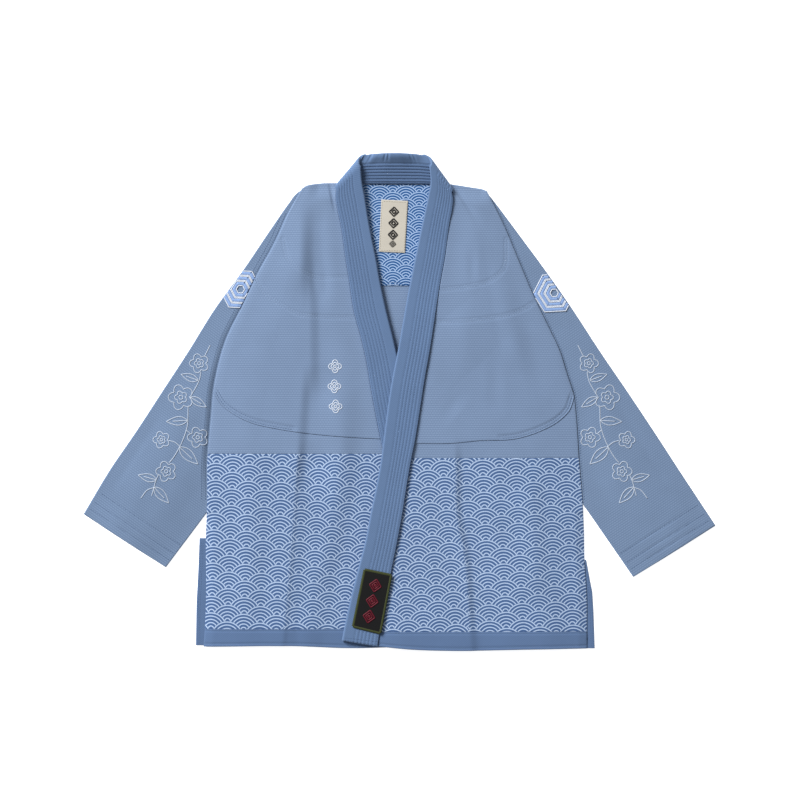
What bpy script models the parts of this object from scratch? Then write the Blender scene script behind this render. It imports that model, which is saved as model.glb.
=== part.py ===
# Jiu-jitsu gi jacket, laid flat on its back with the front up and the left front over the right.
# Sides are the wearer's: the right sleeve and the right front lie at -X, the left ones at +X.
# Sizes below are millimetres. +X runs across the chest, +Y to the collar, +Z up from the table.
import math

import bmesh
import bpy
import numpy as np

MM = 0.001

# Cloth and seams
SEAM_GAP = 0.3            # between pieces that are sewn together
BACK_WALL = 1.5           # heavy pearl weave of the back
FRONT_WALL = 1.4          # single front cloth
CHEST_WALL = 2.4          # front cloth with its sewn-on chest reinforcement
HEM_WALL = 2.2            # cloth turned up into the hem
SLEEVE_WALL = 1.3
YOKE_WALL = 1.0
LABEL_WALL = 1.0
PATCH_WALL = 1.2

# Heights above the table
SLEEVE_FLAT = 2.9         # sleeve pressed flat under the fronts
SLEEVE_CROWN = 3.2        # what the free part of a sleeve adds to that
FRONT_LEVEL = 3.4         # underside of both fronts
FRONT_LOFT = 1.6          # how far a front stands up between its edges
SHOULDER_TURN = 14.0      # width of the turn over the shoulder
SLEEVE_END_X = 157.0      # where a sleeve's upper fold ends, to either side

# Lapel band
LAPEL_THICK = 6.0
LAPEL_LAP = 0.4           # between the two layers of a neck fold
RIB_DEPTH = 0.8           # stitched channels of the lapel
RIB_COUNT = 6
RIB_START, RIB_END = 0.05, 0.66     # share of the lapel's width, from the sewn edge
NECK_LIFT = 4.0           # back of the collar, free edge above sewn edge
NECK_CENTRE = -10.0

# Grid sizes
FRONT_COLUMNS = 16
BACK_COLUMNS = 8
SLEEVE_RINGS = 14
FOLD_STEPS = 5

# Lapel of the right front, which lies underneath, from the neck fold to the hem.
# Columns: sewn edge x and y, free edge x and y, underside z.
UNDER_LAPEL = (
    (-103, 360, -64, 408, 6.4),
    (-104, 348, -63, 388, 6.3),
    (-105, 333, -62, 365, 5.7),
    (-102, 314, -57, 337, 4.9),
    (-97, 292, -52, 305, 4.2),
    (-93, 266, -46, 272, 3.7),
    (-89, 236, -39, 238, 3.5),
    (-82, 193, -31, 193, 3.4),
    (-75, 147, -21, 147, 3.4),
    (-64, 107, -11, 107, 3.4),
    (-55, 68, -2, 68, 3.4),
    (-47, 21, 7, 21, 3.4),
    (-38, -28, 17, -28, 3.4),
    (-31, -63, 26, -63, 3.4),
    (-26, -87, 32, -87, 3.4),
    (-16, -130, 42, -130, 3.4),
    (-5, -180, 52, -180, 3.4),
    (4, -229, 61, -229, 3.4),
    (14, -276, 72, -276, 3.4),
    (25, -328, 83, -328, 3.4),
    (35, -376, 94, -376, 3.4),
    (40, -404, 98, -396, 3.4),
)

# Lapel of the left front, which lies on top and crosses the other one.
# Columns as above.
OVER_LAPEL = (
    (83, 358, 45, 406, 6.4),
    (87, 348, 49, 386, 6.3),
    (88, 335, 51, 365, 5.7),
    (87, 317, 47, 338, 4.9),
    (83, 295, 41, 309, 4.2),
    (79, 266, 33, 272, 3.7),
    (75, 236, 26, 238, 3.7),
    (68, 198, 18, 198, 4.6),
    (63, 167, 12, 167, 6.2),
    (57, 127, 5, 127, 8.4),
    (50, 82, -3, 82, 9.9),
    (41, 31, -13, 31, 9.9),
    (34, -15, -20, -15, 9.9),
    (25, -70, -27, -70, 9.9),
    (20, -94, -30, -94, 9.9),
    (13, -134, -37, -134, 9.9),
    (5, -185, -47, -182, 9.9),
    (-3, -229, -56, -229, 9.7),
    (-12, -274, -67, -272, 8.6),
    (-21, -328, -81, -327, 7.2),
    (-32, -380, -92, -378, 6.2),
    (-36, -404, -95, -394, 6.0),
)

# Rows of those tables where the chest, waist, skirt and hem of a front meet
CHEST_ROW, WAIST_ROW, SKIRT_ROW, HEM_ROW = 13, 14, 20, 21

# Collar across the back of the neck, inner face up. Columns: sewn edge x and y, free edge x and y.
BACK_NECK = (
    (-82, 357, -51, 407),
    (-64, 357, -40, 409),
    (-46, 357, -30, 410),
    (-28, 357, -20, 411),
    (-10, 357, -10, 411),
    (8, 357, 0, 411),
    (26, 357, 10, 410),
    (44, 357, 21, 408),
    (62, 357, 32, 406),
)

# Armhole and side edge of each front, from the shoulder down. Columns: x, y.
RIGHT_FRONT_EDGE = (
    (-161, 348), (-184, 309), (-203, 267), (-235, 208), (-260, 155), (-287, 99),
    (-299, 58), (-307, 15), (-310, -21), (-314, -63), (-316, -87), (-317, -168),
    (-319, -210), (-319, -328), (-321, -376), (-323, -405),
)
LEFT_FRONT_EDGE = (
    (144, 346), (173, 288), (197, 231), (222, 172), (249, 116), (264, 84),
    (276, 46), (288, 7), (291, -21), (294, -61), (296, -94), (302, -168),
    (304, -210), (305, -262), (309, -328), (309, -380), (309, -408),
)
# Height on those edges where the chest, waist, skirt and hem end
RIGHT_SEAM_HEIGHTS = (15, -87, -376, -405)
LEFT_SEAM_HEIGHTS = (7, -94, -380, -408)

RIGHT_SHOULDER = ((-161, 348), (-154, 355), (-141, 358), (-128, 359), (-106, 358))
LEFT_SHOULDER = ((86, 356), (97, 356), (110, 355), (123, 351), (136, 349), (144, 346))

# Lower seam of the chest reinforcement. Columns: x, y.
RIGHT_CHEST_SEAM = ((-307, 15), (-293, -7), (-275, -21), (-245, -36), (-203, -46),
                    (-151, -54), (-98, -59), (-31, -63))
LEFT_CHEST_SEAM = ((25, -70), (85, -70), (127, -66), (199, -61), (232, -50),
                   (263, -33), (280, -16), (288, 7))

RIGHT_HEM_LINE = ((-323, -405), (-164, -404), (-98, -407), (40, -404))
LEFT_HEM_LINE = ((-36, -404), (20, -409), (83, -411), (215, -409), (309, -408))

# Sleeves, from the cuff to the armhole. The lower fold is straight.
RIGHT_SLEEVE_UPPER = ((-521, -186), (-478, -114), (-433, -48), (-390, 18), (-347, 84),
                      (-306, 150), (-258, 216), (-214, 282), (-179, 331), (-157, 345))
RIGHT_SLEEVE_LOWER = ((-385, -274), (-247, -90))
LEFT_SLEEVE_UPPER = ((521, -205), (461, -114), (418, -48), (374, 18), (329, 84),
                     (286, 150), (240, 216), (192, 282), (157, 330), (140, 343))
LEFT_SLEEVE_LOWER = ((385, -290), (247, -90))

# Back skirt. Columns: y, right edge x, left edge x.
BACK_SKIRT_ROWS = (
    (-90.4, -246.4, 246.4),
    (-130.0, -276.2, 273.6),
    (-170.0, -306.2, 301.0),
    (-184.4, -317.0, 302.5),
    (-225.6, -317.0, 304.0),
    (-226.0, -311.6, 304.0),
    (-261.6, -311.6, 305.0),
    (-262.0, -311.6, 300.0),
    (-320.0, -311.6, 300.0),
    (-380.0, -311.6, 300.0),
)
BACK_HEM_ROWS = ((-380.3, -311.6, 300.0), (-404.0, -311.6, 300.0))

# Facings of the two side vents. Columns: y, edge x towards the right, edge x towards the left.
RIGHT_VENT_ROWS = ((-226, -330, -311.9), (-279, -332, -311.9),
                   (-335, -335, -311.9), (-403, -336, -311.9))
LEFT_VENT_ROWS = ((-262, 300.3, 308), (-295, 300.3, 314), (-315, 300.3, 318),
                  (-348, 300.3, 320), (-408, 300.3, 322))

BACK_NECK_LINE = ((-150, 350), (-141, 357), (-128, 358), (-110, 357), (-99, 354), (-80, 355),
                  (62, 355), (79, 352), (97, 355), (110, 354), (123, 350), (133, 347))
BACK_WAIST_LINE = ((-246.4, -90.1), (246.4, -90.1))
YOKE_ROWS = ((354, -98, 78), (300, -83, 66), (245, -67, 53), (190, -52, 40))
LABEL_CORNERS = ((-30, 332), (14, 330), (-34, 246), (9, 244))
PATCH_CORNERS = ((-57, -277), (-14, -286), (-76, -370), (-32, -381))

# Soft folds of the fronts. Columns: start x and y, end x and y, half width, height.
FOLDS = (
    (-169, -89, -186, -381, 22, 1.6),
    (-139, 300, -141, -70, 24, -1.0),
    (87, -89, 116, -370, 24, 1.6),
    (125, 249, 125, 0, 24, -0.9),
    (90, 335, 135, 295, 18, -0.9),
    (-60, -120, -96, -300, 22, -0.8),
    (215, -110, 222, -330, 24, 1.0),
)

# Materials. Columns: name, red, green, blue (linear), roughness.
PEARL_WEAVE = ("pearl weave cotton", 0.215, 0.305, 0.468, 0.9)
PRINTED_CLOTH = ("wave print cotton", 0.200, 0.300, 0.500, 0.85)
PLAIN_TWILL = ("plain blue twill", 0.116, 0.190, 0.333, 0.85)
YOKE_CLOTH = ("bright wave print", 0.130, 0.240, 0.470, 0.8)
LABEL_CLOTH = ("natural woven label", 0.730, 0.690, 0.620, 0.85)
PATCH_CLOTH = ("black woven patch", 0.018, 0.017, 0.018, 0.8)


def smooth(value, start, end):
    """Rises from 0 at start to 1 at end with flat ends: 3t^2 - 2t^3."""
    t = np.clip((value - start) / (end - start), 0.0, 1.0)
    return t * t * (3.0 - 2.0 * t)


def along(points, shares):
    """Points on a polyline at the given shares of its length."""
    points = np.asarray(points, float)
    lengths = np.concatenate([[0.0], np.cumsum(np.linalg.norm(np.diff(points, axis=0), axis=1))])
    at = np.asarray(shares) * lengths[-1]
    return np.column_stack([np.interp(at, lengths, points[:, axis]) for axis in (0, 1)])


def shares_of(points):
    """Share of a polyline's length at each of its own points."""
    lengths = np.cumsum(np.linalg.norm(np.diff(np.asarray(points, float), axis=0), axis=1))
    return np.concatenate([[0.0], lengths / lengths[-1]])


def edge_x(edge, y):
    """x of an edge at height y, for an edge that runs downwards."""
    edge = np.asarray(edge, float)
    return np.interp(-y, -edge[:, 1], edge[:, 0])


def cut_edge(edge, high, low):
    """The stretch of a downward edge between two heights."""
    inner = [tuple(point) for point in edge if low < point[1] < high]
    return [(float(edge_x(edge, high)), high), *inner, (float(edge_x(edge, low)), low)]


def coons(top, bottom, left, right):
    """Grid of plan points spanned by four edges: the two ruled surfaces less the bilinear one."""
    u = np.linspace(0, 1, len(top))[None, :, None]
    v = shares_of(right)[:, None, None]
    ruled_v = (1 - v) * top[None] + v * bottom[None]
    ruled_u = (1 - u) * left[:, None] + u * right[:, None]
    corners = ((1 - u) * (1 - v) * top[0] + u * (1 - v) * top[-1]
               + (1 - u) * v * bottom[0] + u * v * bottom[-1])
    return ruled_v + ruled_u - corners


def rows_to_plan(rows, columns):
    """Grid of plan points from rows of (y, first x, last x)."""
    share = np.linspace(0, 1, columns + 1)
    return np.array([[(a + (b - a) * t, y) for t in share] for y, a, b in rows])


def material(finish):
    """Principled material from one row of the materials above."""
    name, red, green, blue, roughness = finish
    made = bpy.data.materials.get(name)
    if made is None:
        made = bpy.data.materials.new(name)
        made.use_nodes = True
        shader = made.node_tree.nodes["Principled BSDF"]
        shader.inputs["Base Color"].default_value = (red, green, blue, 1.0)
        shader.inputs["Roughness"].default_value = roughness
        shader.inputs["Metallic"].default_value = 0.0
    return made


def solid(name, points, faces, finish):
    """Object from points in millimetres and closed faces, turned so that they point out."""
    mesh = bpy.data.meshes.new(name)
    mesh.from_pydata((np.asarray(points) * MM).tolist(), [], faces)
    body = bmesh.new()
    body.from_mesh(mesh)
    bmesh.ops.triangulate(body, faces=body.faces)
    bmesh.ops.recalc_face_normals(body, faces=body.faces)
    body.to_mesh(mesh)
    body.free()
    mesh.materials.append(material(finish))
    made = bpy.data.objects.new(name, mesh)
    bpy.context.scene.collection.objects.link(made)
    return made


def slab(name, plan, low, wall, finish):
    """Wall of cloth over a grid of plan points, with its underside at the heights in low."""
    rows, columns = plan.shape[:2]
    low = np.broadcast_to(low, (rows, columns))
    upper = np.dstack([plan, low + wall]).reshape(-1, 3)
    lower = np.dstack([plan, low]).reshape(-1, 3)
    top = np.arange(rows * columns).reshape(rows, columns)
    under = top + rows * columns
    above = np.stack([top[:-1, :-1], top[1:, :-1], top[1:, 1:], top[:-1, 1:]], -1)
    below = np.stack([under[:-1, :-1], under[:-1, 1:], under[1:, 1:], under[1:, :-1]], -1)
    faces = above.reshape(-1, 4).tolist() + below.reshape(-1, 4).tolist()
    rim = np.concatenate([top[:-1, 0], top[-1, :-1], top[:0:-1, -1], top[0, :0:-1]])
    for here, after in zip(rim, np.roll(rim, -1)):
        faces.append([here, here + rows * columns, after + rows * columns, after])
    return solid(name, np.concatenate([upper, lower]), faces, finish)


def tube(name, rings, finish, inner=None):
    """Closed solid through rings of points; with inner rings it is a wall, open at both ends."""
    count, sides = rings.shape[:2]
    index = np.arange(count * sides).reshape(count, sides)
    turned = np.roll(index, -1, axis=1)
    skin = np.stack([index[:-1], index[1:], turned[1:], turned[:-1]], -1).reshape(-1, 4)
    faces = skin.tolist()
    points = rings.reshape(-1, 3)
    if inner is None:
        faces += [index[0].tolist(), index[-1, ::-1].tolist()]
    else:
        points = np.concatenate([points, inner.reshape(-1, 3)])
        faces += (skin[:, ::-1] + count * sides).tolist()
        for end in (0, -1):
            rim = np.stack([index[end], turned[end]], -1)
            faces += np.concatenate([rim, rim[:, ::-1] + count * sides], -1).tolist()
    return solid(name, points, faces, finish)


def fold_heights(x, y):
    """Sum of the soft folds: each is a cosine ridge or trough that fades at its two ends."""
    total = np.zeros_like(x)
    for x1, y1, x2, y2, half_width, height in FOLDS:
        run = np.array([x2 - x1, y2 - y1], float)
        length = np.linalg.norm(run)
        run /= length
        forward = (x - x1) * run[0] + (y - y1) * run[1]
        sideways = np.abs((x - x1) * run[1] - (y - y1) * run[0])
        fade = smooth(forward, -20, 50) * (1 - smooth(forward, length - 50, length + 20))
        total += height * fade * (1 - smooth(sideways, 0, half_width))
    return total


def lapel_height(lapel, y):
    """Underside of a lapel at height y on its sewn edge."""
    table = np.array(lapel, float)
    return np.interp(-y, -table[:, 1], table[:, 4])


def sewn_edge(lapel):
    return [(row[0], row[1]) for row in lapel]


def free_edge(lapel):
    return [(row[2], row[3]) for row in lapel]


def meet_back(low, x, y, shoulder):
    """Brings a front down on the back where both turn over at the shoulder, clear of the sleeve."""
    line = np.array(sorted(shoulder), float)
    below = np.interp(x, line[:, 0], line[:, 1]) - y
    away = 1 - smooth(np.abs(x), SLEEVE_END_X - 25, SLEEVE_END_X - 5)
    share = away * (1 - smooth(below, 0, SHOULDER_TURN))
    return low + share * (BACK_WALL + SEAM_GAP - low)


def right_front_low(x, y):
    """Underside of the right front: it lies on the sleeve and back and stands up between its edges."""
    from_side = x - edge_x(RIGHT_FRONT_EDGE, y)
    from_lapel = edge_x(sewn_edge(UNDER_LAPEL), y) - x
    from_cover = edge_x(free_edge(OVER_LAPEL), y) - x
    loft = smooth(from_side, 20, 70) * smooth(from_lapel, 10, 60)
    loft = loft * np.where(y < 60, smooth(from_cover, 25, 70), 1.0)
    follow = (lapel_height(UNDER_LAPEL, y) - FRONT_LEVEL) * (1 - smooth(from_lapel, 8, 60))
    low = FRONT_LEVEL + follow + loft * (FRONT_LOFT + fold_heights(x, y))
    return meet_back(low, x, y, RIGHT_SHOULDER)


def left_front_low(x, y):
    """Underside of the left front: it also climbs over the hidden lapel of the right front."""
    from_side = edge_x(LEFT_FRONT_EDGE, y) - x
    from_lapel = x - edge_x(sewn_edge(OVER_LAPEL), y)
    past_hidden = x - edge_x(free_edge(UNDER_LAPEL), y)
    before_hidden = edge_x(sewn_edge(UNDER_LAPEL), y) - x
    top_level = max(row[4] for row in OVER_LAPEL)
    over = (top_level - FRONT_LEVEL) * (1 - smooth(past_hidden, 26, 96))
    over = over * (1 - 0.5 * smooth(before_hidden, 26, 90))
    follow = (lapel_height(OVER_LAPEL, y) - FRONT_LEVEL) * (1 - smooth(from_lapel, 10, 75))
    loft = smooth(from_side, 20, 70) * smooth(from_lapel, 10, 60) * smooth(past_hidden, 40, 110)
    low = FRONT_LEVEL + np.maximum(over, follow) + loft * (FRONT_LOFT + fold_heights(x, y))
    return meet_back(low, x, y, LEFT_SHOULDER)


def build_front(side, edge, seam_heights, shoulder, chest_seam, hem_line, lapel, low_at):
    """Chest, waist, skirt and hem of one front, which share their seam points."""
    facing = 1 if lapel is OVER_LAPEL else -1
    shares = np.linspace(0, 1, FRONT_COLUMNS + 1)
    sewn = np.array(sewn_edge(lapel), float)
    sewn[0] = shoulder[0] if facing > 0 else shoulder[-1]
    sewn[1:, 0] += facing * 0.5
    lines = [along(shoulder, shares), along(chest_seam, shares)]
    for row, height in ((WAIST_ROW, seam_heights[1]), (SKIRT_ROW, seam_heights[2])):
        pair = [(float(edge_x(edge, height)), height), tuple(sewn[row])]
        lines.append(along(pair[::-facing], shares))
    lines.append(along(hem_line, shares))
    pieces = (("chest", CHEST_WALL, PEARL_WEAVE), ("waist", FRONT_WALL, PEARL_WEAVE),
              ("skirt", FRONT_WALL, PRINTED_CLOTH), ("hem", HEM_WALL, PLAIN_TWILL))
    rows = (0, CHEST_ROW, WAIST_ROW, SKIRT_ROW, HEM_ROW)
    heights = (edge[0][1], *seam_heights)
    near, far = (0, -1) if facing > 0 else (-1, 0)
    for part, (name, wall, finish) in enumerate(pieces):
        top, end = lines[part].copy(), lines[part + 1].copy()
        top[:, 1] -= SEAM_GAP / 2 if part > 0 else 0.0
        end[:, 1] += SEAM_GAP / 2 if part < 3 else 0.0
        by_lapel = sewn[rows[part]:rows[part + 1] + 1].copy()
        by_lapel[0], by_lapel[-1] = top[near], end[near]
        by_side = along(cut_edge(edge, heights[part], heights[part + 1]), shares_of(by_lapel))
        by_side[0], by_side[-1] = top[far], end[far]
        if facing > 0:
            plan = coons(top[::-1], end[::-1], by_side, by_lapel)[:, ::-1]
        else:
            plan = coons(top, end, by_side, by_lapel)
        slab(f"front_{side}_{name}", plan, low_at(plan[..., 0], plan[..., 1]), wall, finish)


def build_sleeve(name, upper, lower, front_edge, outward):
    """Flattened tube between its two folds, open at the cuff and at the armhole."""
    shares = np.linspace(0, 1, SLEEVE_RINGS)
    starts, ends = along(upper, shares), along(lower, shares)
    bend = SLEEVE_FLAT / 2
    turn = np.radians([-45, 0, 45])
    spans = np.array([0.08, 0.2, 0.35, 0.5, 0.65, 0.8, 0.92])
    outer, inner = [], []
    for start, end in zip(starts, ends):
        width = np.linalg.norm(end - start)
        across = (end - start) / width
        low_s = np.concatenate([[bend], width * np.array([0.25, 0.5, 0.75]), [width - bend]])
        top_s = np.concatenate([[width - bend], width * spans[::-1], [bend]])
        at = start + top_s[:, None] * across
        clear = outward * (at[:, 0] - edge_x(front_edge, at[:, 1]))
        crown = (SLEEVE_CROWN * smooth(clear, 20, 85)
                 * smooth(np.minimum(top_s, width - top_s), bend, 55))
        for rings, radius in ((outer, bend), (inner, bend - SLEEVE_WALL)):
            inset = bend - radius
            far = np.column_stack([width - bend + radius * np.cos(turn), bend + radius * np.sin(turn)])
            near = np.column_stack([bend - radius * np.cos(turn), bend - radius * np.sin(turn)])
            section = np.concatenate([
                np.column_stack([low_s, np.full(5, inset)]), far,
                np.column_stack([top_s, SLEEVE_FLAT - inset + crown]), near])
            plan = start + section[:, :1] * across
            rings.append(np.column_stack([plan, section[:, 1]]))
    tube(name, np.array(outer), PEARL_WEAVE, np.array(inner))


def lapel_section():
    """Share of the width, height share and rib share of each point round the lapel's section."""
    pitch = (RIB_END - RIB_START) / RIB_COUNT
    face = [(0.012, 0.7, 0.0)]
    for rib in range(RIB_COUNT):
        face += [(RIB_START + rib * pitch, 1.0, 1.0), (RIB_START + (rib + 0.5) * pitch, 1.0, 0.0)]
    face += [(RIB_END, 1.0, 1.0), (RIB_END + 0.04, 1.0, 0.0), (0.93, 1.0, 0.0), (0.985, 0.7, 0.0)]
    under = [(share, -height, -rib) for share, height, rib in reversed(face)]
    return np.array([(0.0, 0.0, 0.0), *face, (1.0, 0.0, 0.0), *under])


def lapel_ring(section, sewn, free, middle, normal, outer_ribs, inner_ribs):
    """One ring of the lapel between its sewn and free edge, with its middle at a height."""
    share, height, rib = section.T
    ribbed = np.where(rib > 0, rib * outer_ribs, rib * inner_ribs)
    depth = height * LAPEL_THICK / 2 - RIB_DEPTH * ribbed
    middle = middle[0] + share * (middle[1] - middle[0])
    base = np.column_stack([sewn + share[:, None] * (free - sewn), middle])
    return base + depth[:, None] * normal


def neck_fold(section, row, outward_x):
    """Rings of the half turn at one side of the neck, from the upper layer to the lower one."""
    sewn, free = np.array(row[:2], float), np.array(row[2:4], float)
    line = (free - sewn) / np.linalg.norm(free - sewn)
    outward = np.array([abs(line[1]) * outward_x, abs(line[0])])
    radius = (LAPEL_THICK + LAPEL_LAP) / 2
    sewn, free = (edge - outward * (radius + LAPEL_THICK / 2) for edge in (sewn, free))
    centre = LAPEL_THICK / 2 + radius
    rings = []
    for angle in np.linspace(0, math.pi, FOLD_STEPS):
        shift = outward * radius * math.sin(angle)
        middle = centre + radius * math.cos(angle)
        normal = np.array([*(outward * math.sin(angle)), math.cos(angle)])
        fade = 0.5 + 0.5 * math.cos(angle)
        ring = lapel_ring(section, sewn + shift, free + shift, (middle, middle), normal, fade, 0.0)
        rings.append(ring)
    return rings


def build_lapel():
    """The whole band: up the right front, round the back of the neck and down the left front."""
    section = lapel_section()
    up = np.array([0.0, 0.0, 1.0])
    half = LAPEL_THICK / 2

    def front_rings(table):
        return [lapel_ring(section, np.array(row[:2], float), np.array(row[2:4], float),
                           (row[4] + half, row[4] + half), up, 1.0, 0.0) for row in table[1:]]

    back = []
    for x1, y1, x2, y2 in BACK_NECK:
        lift = NECK_LIFT * (1 - smooth(abs(x1 - NECK_CENTRE), 12, 50))
        back.append(lapel_ring(section, np.array([x1, y1], float), np.array([x2, y2], float),
                               (half, half + lift), -up, 0.0, 1.0))
    rings = front_rings(UNDER_LAPEL)[::-1] + neck_fold(section, UNDER_LAPEL[0], -1) + back
    rings += neck_fold(section, OVER_LAPEL[0], 1)[::-1] + front_rings(OVER_LAPEL)
    tube("lapel", np.array(rings), PLAIN_TWILL)


def build_back():
    """Back of the jacket with its hem, the facings of its vents and the lining of its yoke."""
    across = np.linspace(0, 1, 2 * BACK_COLUMNS + 1)
    top = along(BACK_NECK_LINE, across)
    bottom = along(BACK_WAIST_LINE, across)
    down = np.linspace(0, 1, BACK_COLUMNS + 1)
    right = along((top[0], bottom[0]), down)
    left = along((top[-1], bottom[-1]), down)
    slab("back_body", coons(top, bottom, right, left), 0.0, BACK_WALL, PEARL_WEAVE)
    slab("back_skirt", rows_to_plan(BACK_SKIRT_ROWS, BACK_COLUMNS), 0.0, BACK_WALL, PRINTED_CLOTH)
    slab("back_hem", rows_to_plan(BACK_HEM_ROWS, BACK_COLUMNS), 0.0, HEM_WALL, PLAIN_TWILL)
    slab("vent_facing_right", rows_to_plan(RIGHT_VENT_ROWS, 1), 0.0, BACK_WALL, PLAIN_TWILL)
    slab("vent_facing_left", rows_to_plan(LEFT_VENT_ROWS, 1), 0.0, BACK_WALL, PLAIN_TWILL)
    lining = BACK_WALL + SEAM_GAP
    slab("yoke_lining", rows_to_plan(YOKE_ROWS, 4), lining, YOKE_WALL, YOKE_CLOTH)
    corners = np.array(LABEL_CORNERS, float).reshape(2, 2, 2)
    slab("neck_label", corners, lining + YOKE_WALL + SEAM_GAP, LABEL_WALL, LABEL_CLOTH)


def build_patch():
    """Woven patch near the end of the upper lapel, lying on its ribs."""
    corner = np.array(PATCH_CORNERS, float)
    down = np.linspace(0, 1, 5)[:, None, None]
    across = np.linspace(0, 1, 3)[None, :, None]
    top = corner[0] + across * (corner[1] - corner[0])
    plan = top * (1 - down) + down * (corner[2] + across * (corner[3] - corner[2]))
    low = lapel_height(OVER_LAPEL, plan[..., 1]) + LAPEL_THICK + 2 * SEAM_GAP
    slab("lapel_patch", plan, low, PATCH_WALL, PATCH_CLOTH)


def centre_on_base():
    """Moves every piece so that the origin is under the middle of the jacket, on the table."""
    made = list(bpy.context.scene.objects)
    corners = np.concatenate([[vertex.co[:] for vertex in piece.data.vertices] for piece in made])
    low, high = corners.min(axis=0), corners.max(axis=0)
    shift = np.array([(low[0] + high[0]) / 2, (low[1] + high[1]) / 2, low[2]])
    for piece in made:
        for vertex in piece.data.vertices:
            vertex.co = [value - move for value, move in zip(vertex.co, shift)]


def build_gi():
    for old in list(bpy.data.objects):
        bpy.data.objects.remove(old)
    build_back()
    build_sleeve("sleeve_right", RIGHT_SLEEVE_UPPER, RIGHT_SLEEVE_LOWER, RIGHT_FRONT_EDGE, -1)
    build_sleeve("sleeve_left", LEFT_SLEEVE_UPPER, LEFT_SLEEVE_LOWER, LEFT_FRONT_EDGE, 1)
    build_front("right", RIGHT_FRONT_EDGE, RIGHT_SEAM_HEIGHTS, RIGHT_SHOULDER, RIGHT_CHEST_SEAM,
                RIGHT_HEM_LINE, UNDER_LAPEL, right_front_low)
    build_front("left", LEFT_FRONT_EDGE, LEFT_SEAM_HEIGHTS, LEFT_SHOULDER, LEFT_CHEST_SEAM,
                LEFT_HEM_LINE, OVER_LAPEL, left_front_low)
    build_lapel()
    build_patch()
    centre_on_base()


build_gi()
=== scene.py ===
# Jiu-jitsu gi jacket, laid flat: its cloth, print, stitching and embroidery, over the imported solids.
# Lengths are in millimetres until a mesh is made. The wearer's right is at -X and the collar at +Y.
import math

import bpy
import numpy as np
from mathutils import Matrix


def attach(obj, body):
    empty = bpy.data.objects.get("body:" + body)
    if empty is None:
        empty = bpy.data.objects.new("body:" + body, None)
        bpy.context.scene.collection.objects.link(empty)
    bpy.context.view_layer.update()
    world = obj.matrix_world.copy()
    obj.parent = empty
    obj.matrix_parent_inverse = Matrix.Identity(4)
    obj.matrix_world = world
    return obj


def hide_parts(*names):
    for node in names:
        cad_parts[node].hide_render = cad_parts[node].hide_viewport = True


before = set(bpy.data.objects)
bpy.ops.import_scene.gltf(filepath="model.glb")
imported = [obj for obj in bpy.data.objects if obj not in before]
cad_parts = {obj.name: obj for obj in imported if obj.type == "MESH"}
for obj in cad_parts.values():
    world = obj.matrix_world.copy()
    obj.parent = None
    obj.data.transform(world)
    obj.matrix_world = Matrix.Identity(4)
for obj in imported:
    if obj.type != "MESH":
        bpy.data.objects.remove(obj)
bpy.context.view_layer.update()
mm = 0.001


# Shape helpers

def ease(value, start, end):
    # Rises from 0 at start to 1 at end with level ends: 3t^2 - 2t^3
    t = np.clip((value - start) / (end - start), 0.0, 1.0)
    return t * t * (3.0 - 2.0 * t)


def smoothLine(points, count):
    # Cubic Hermite through given points: the slope at each is the mean of its two sides
    points = np.asarray(points, float)
    steps = np.linalg.norm(np.diff(points[:, :2], axis=0), axis=1)
    knots = np.concatenate([[0.0], np.cumsum(steps)])
    slopes = np.gradient(points, knots, axis=0)
    at = np.linspace(0.0, knots[-1], count)
    i = np.clip(np.searchsorted(knots, at, side="right") - 1, 0, len(steps) - 1)
    h = steps[i][:, None]
    t = (at - knots[i])[:, None] / h
    return ((1 + 2 * t) * (1 - t) ** 2 * points[i] + t * (1 - t) ** 2 * h * slopes[i]
            + t ** 2 * (3 - 2 * t) * points[i + 1] - t ** 2 * (1 - t) * h * slopes[i + 1])


def lengthsAlong(line):
    return np.concatenate([[0.0], np.cumsum(np.linalg.norm(np.diff(line, axis=0), axis=1))])


def pointsAt(line, shares):
    # Points of a dense line at shares of its length
    line = np.asarray(line, float)
    run = lengthsAlong(line)
    at = np.asarray(shares) * run[-1]
    return np.column_stack([np.interp(at, run, column) for column in line.T])


def edgeX(line, y):
    # x of a line that runs downwards, at height y
    return np.interp(-y, -line[:, 1], line[:, 0])


def cutLine(line, high, low):
    # The stretch of a downward line between two heights
    inner = line[(line[:, 1] < high) & (line[:, 1] > low)]
    ends = [[float(edgeX(line, high)), high]], [[float(edgeX(line, low)), low]]
    return np.concatenate([ends[0], inner, ends[1]])


def distanceTo(x, y, line):
    # Least distance from each point to a dense line
    flat = np.column_stack([np.ravel(x), np.ravel(y)])
    least = np.full(len(flat), np.inf)
    for part in np.array_split(line, max(1, len(line) // 40)):
        gap = np.hypot(flat[:, :1] - part[:, 0], flat[:, 1:] - part[:, 1])
        least = np.minimum(least, gap.min(axis=1))
    return least.reshape(np.shape(x))


def offsetLine(line, away):
    # The line moved sideways by a distance, to its left for one above 0
    along = np.gradient(line, axis=0)
    along /= np.linalg.norm(along, axis=1)[:, None]
    return line + away * np.column_stack([-along[:, 1], along[:, 0]])


def foldHeights(x, y, folds):
    # Sum of soft folds. Each is highest on its line and falls to 0 at its own width on either side,
    # seen along the line from its start, and it fades at its two ends.
    total = np.zeros_like(x)
    for x1, y1, x2, y2, rightWidth, leftWidth, height in folds:
        run = np.array([x2 - x1, y2 - y1], float)
        length = np.linalg.norm(run)
        run /= length
        forward = (x - x1) * run[0] + (y - y1) * run[1]
        sideways = (x - x1) * run[1] - (y - y1) * run[0]
        fade = ease(forward, -20, 50) * (1 - ease(forward, length - 50, length + 20))
        away = np.where(sideways > 0, sideways / rightWidth, -sideways / leftWidth)
        total += height * fade * (1 - ease(away, 0, 1))
    return total


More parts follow.
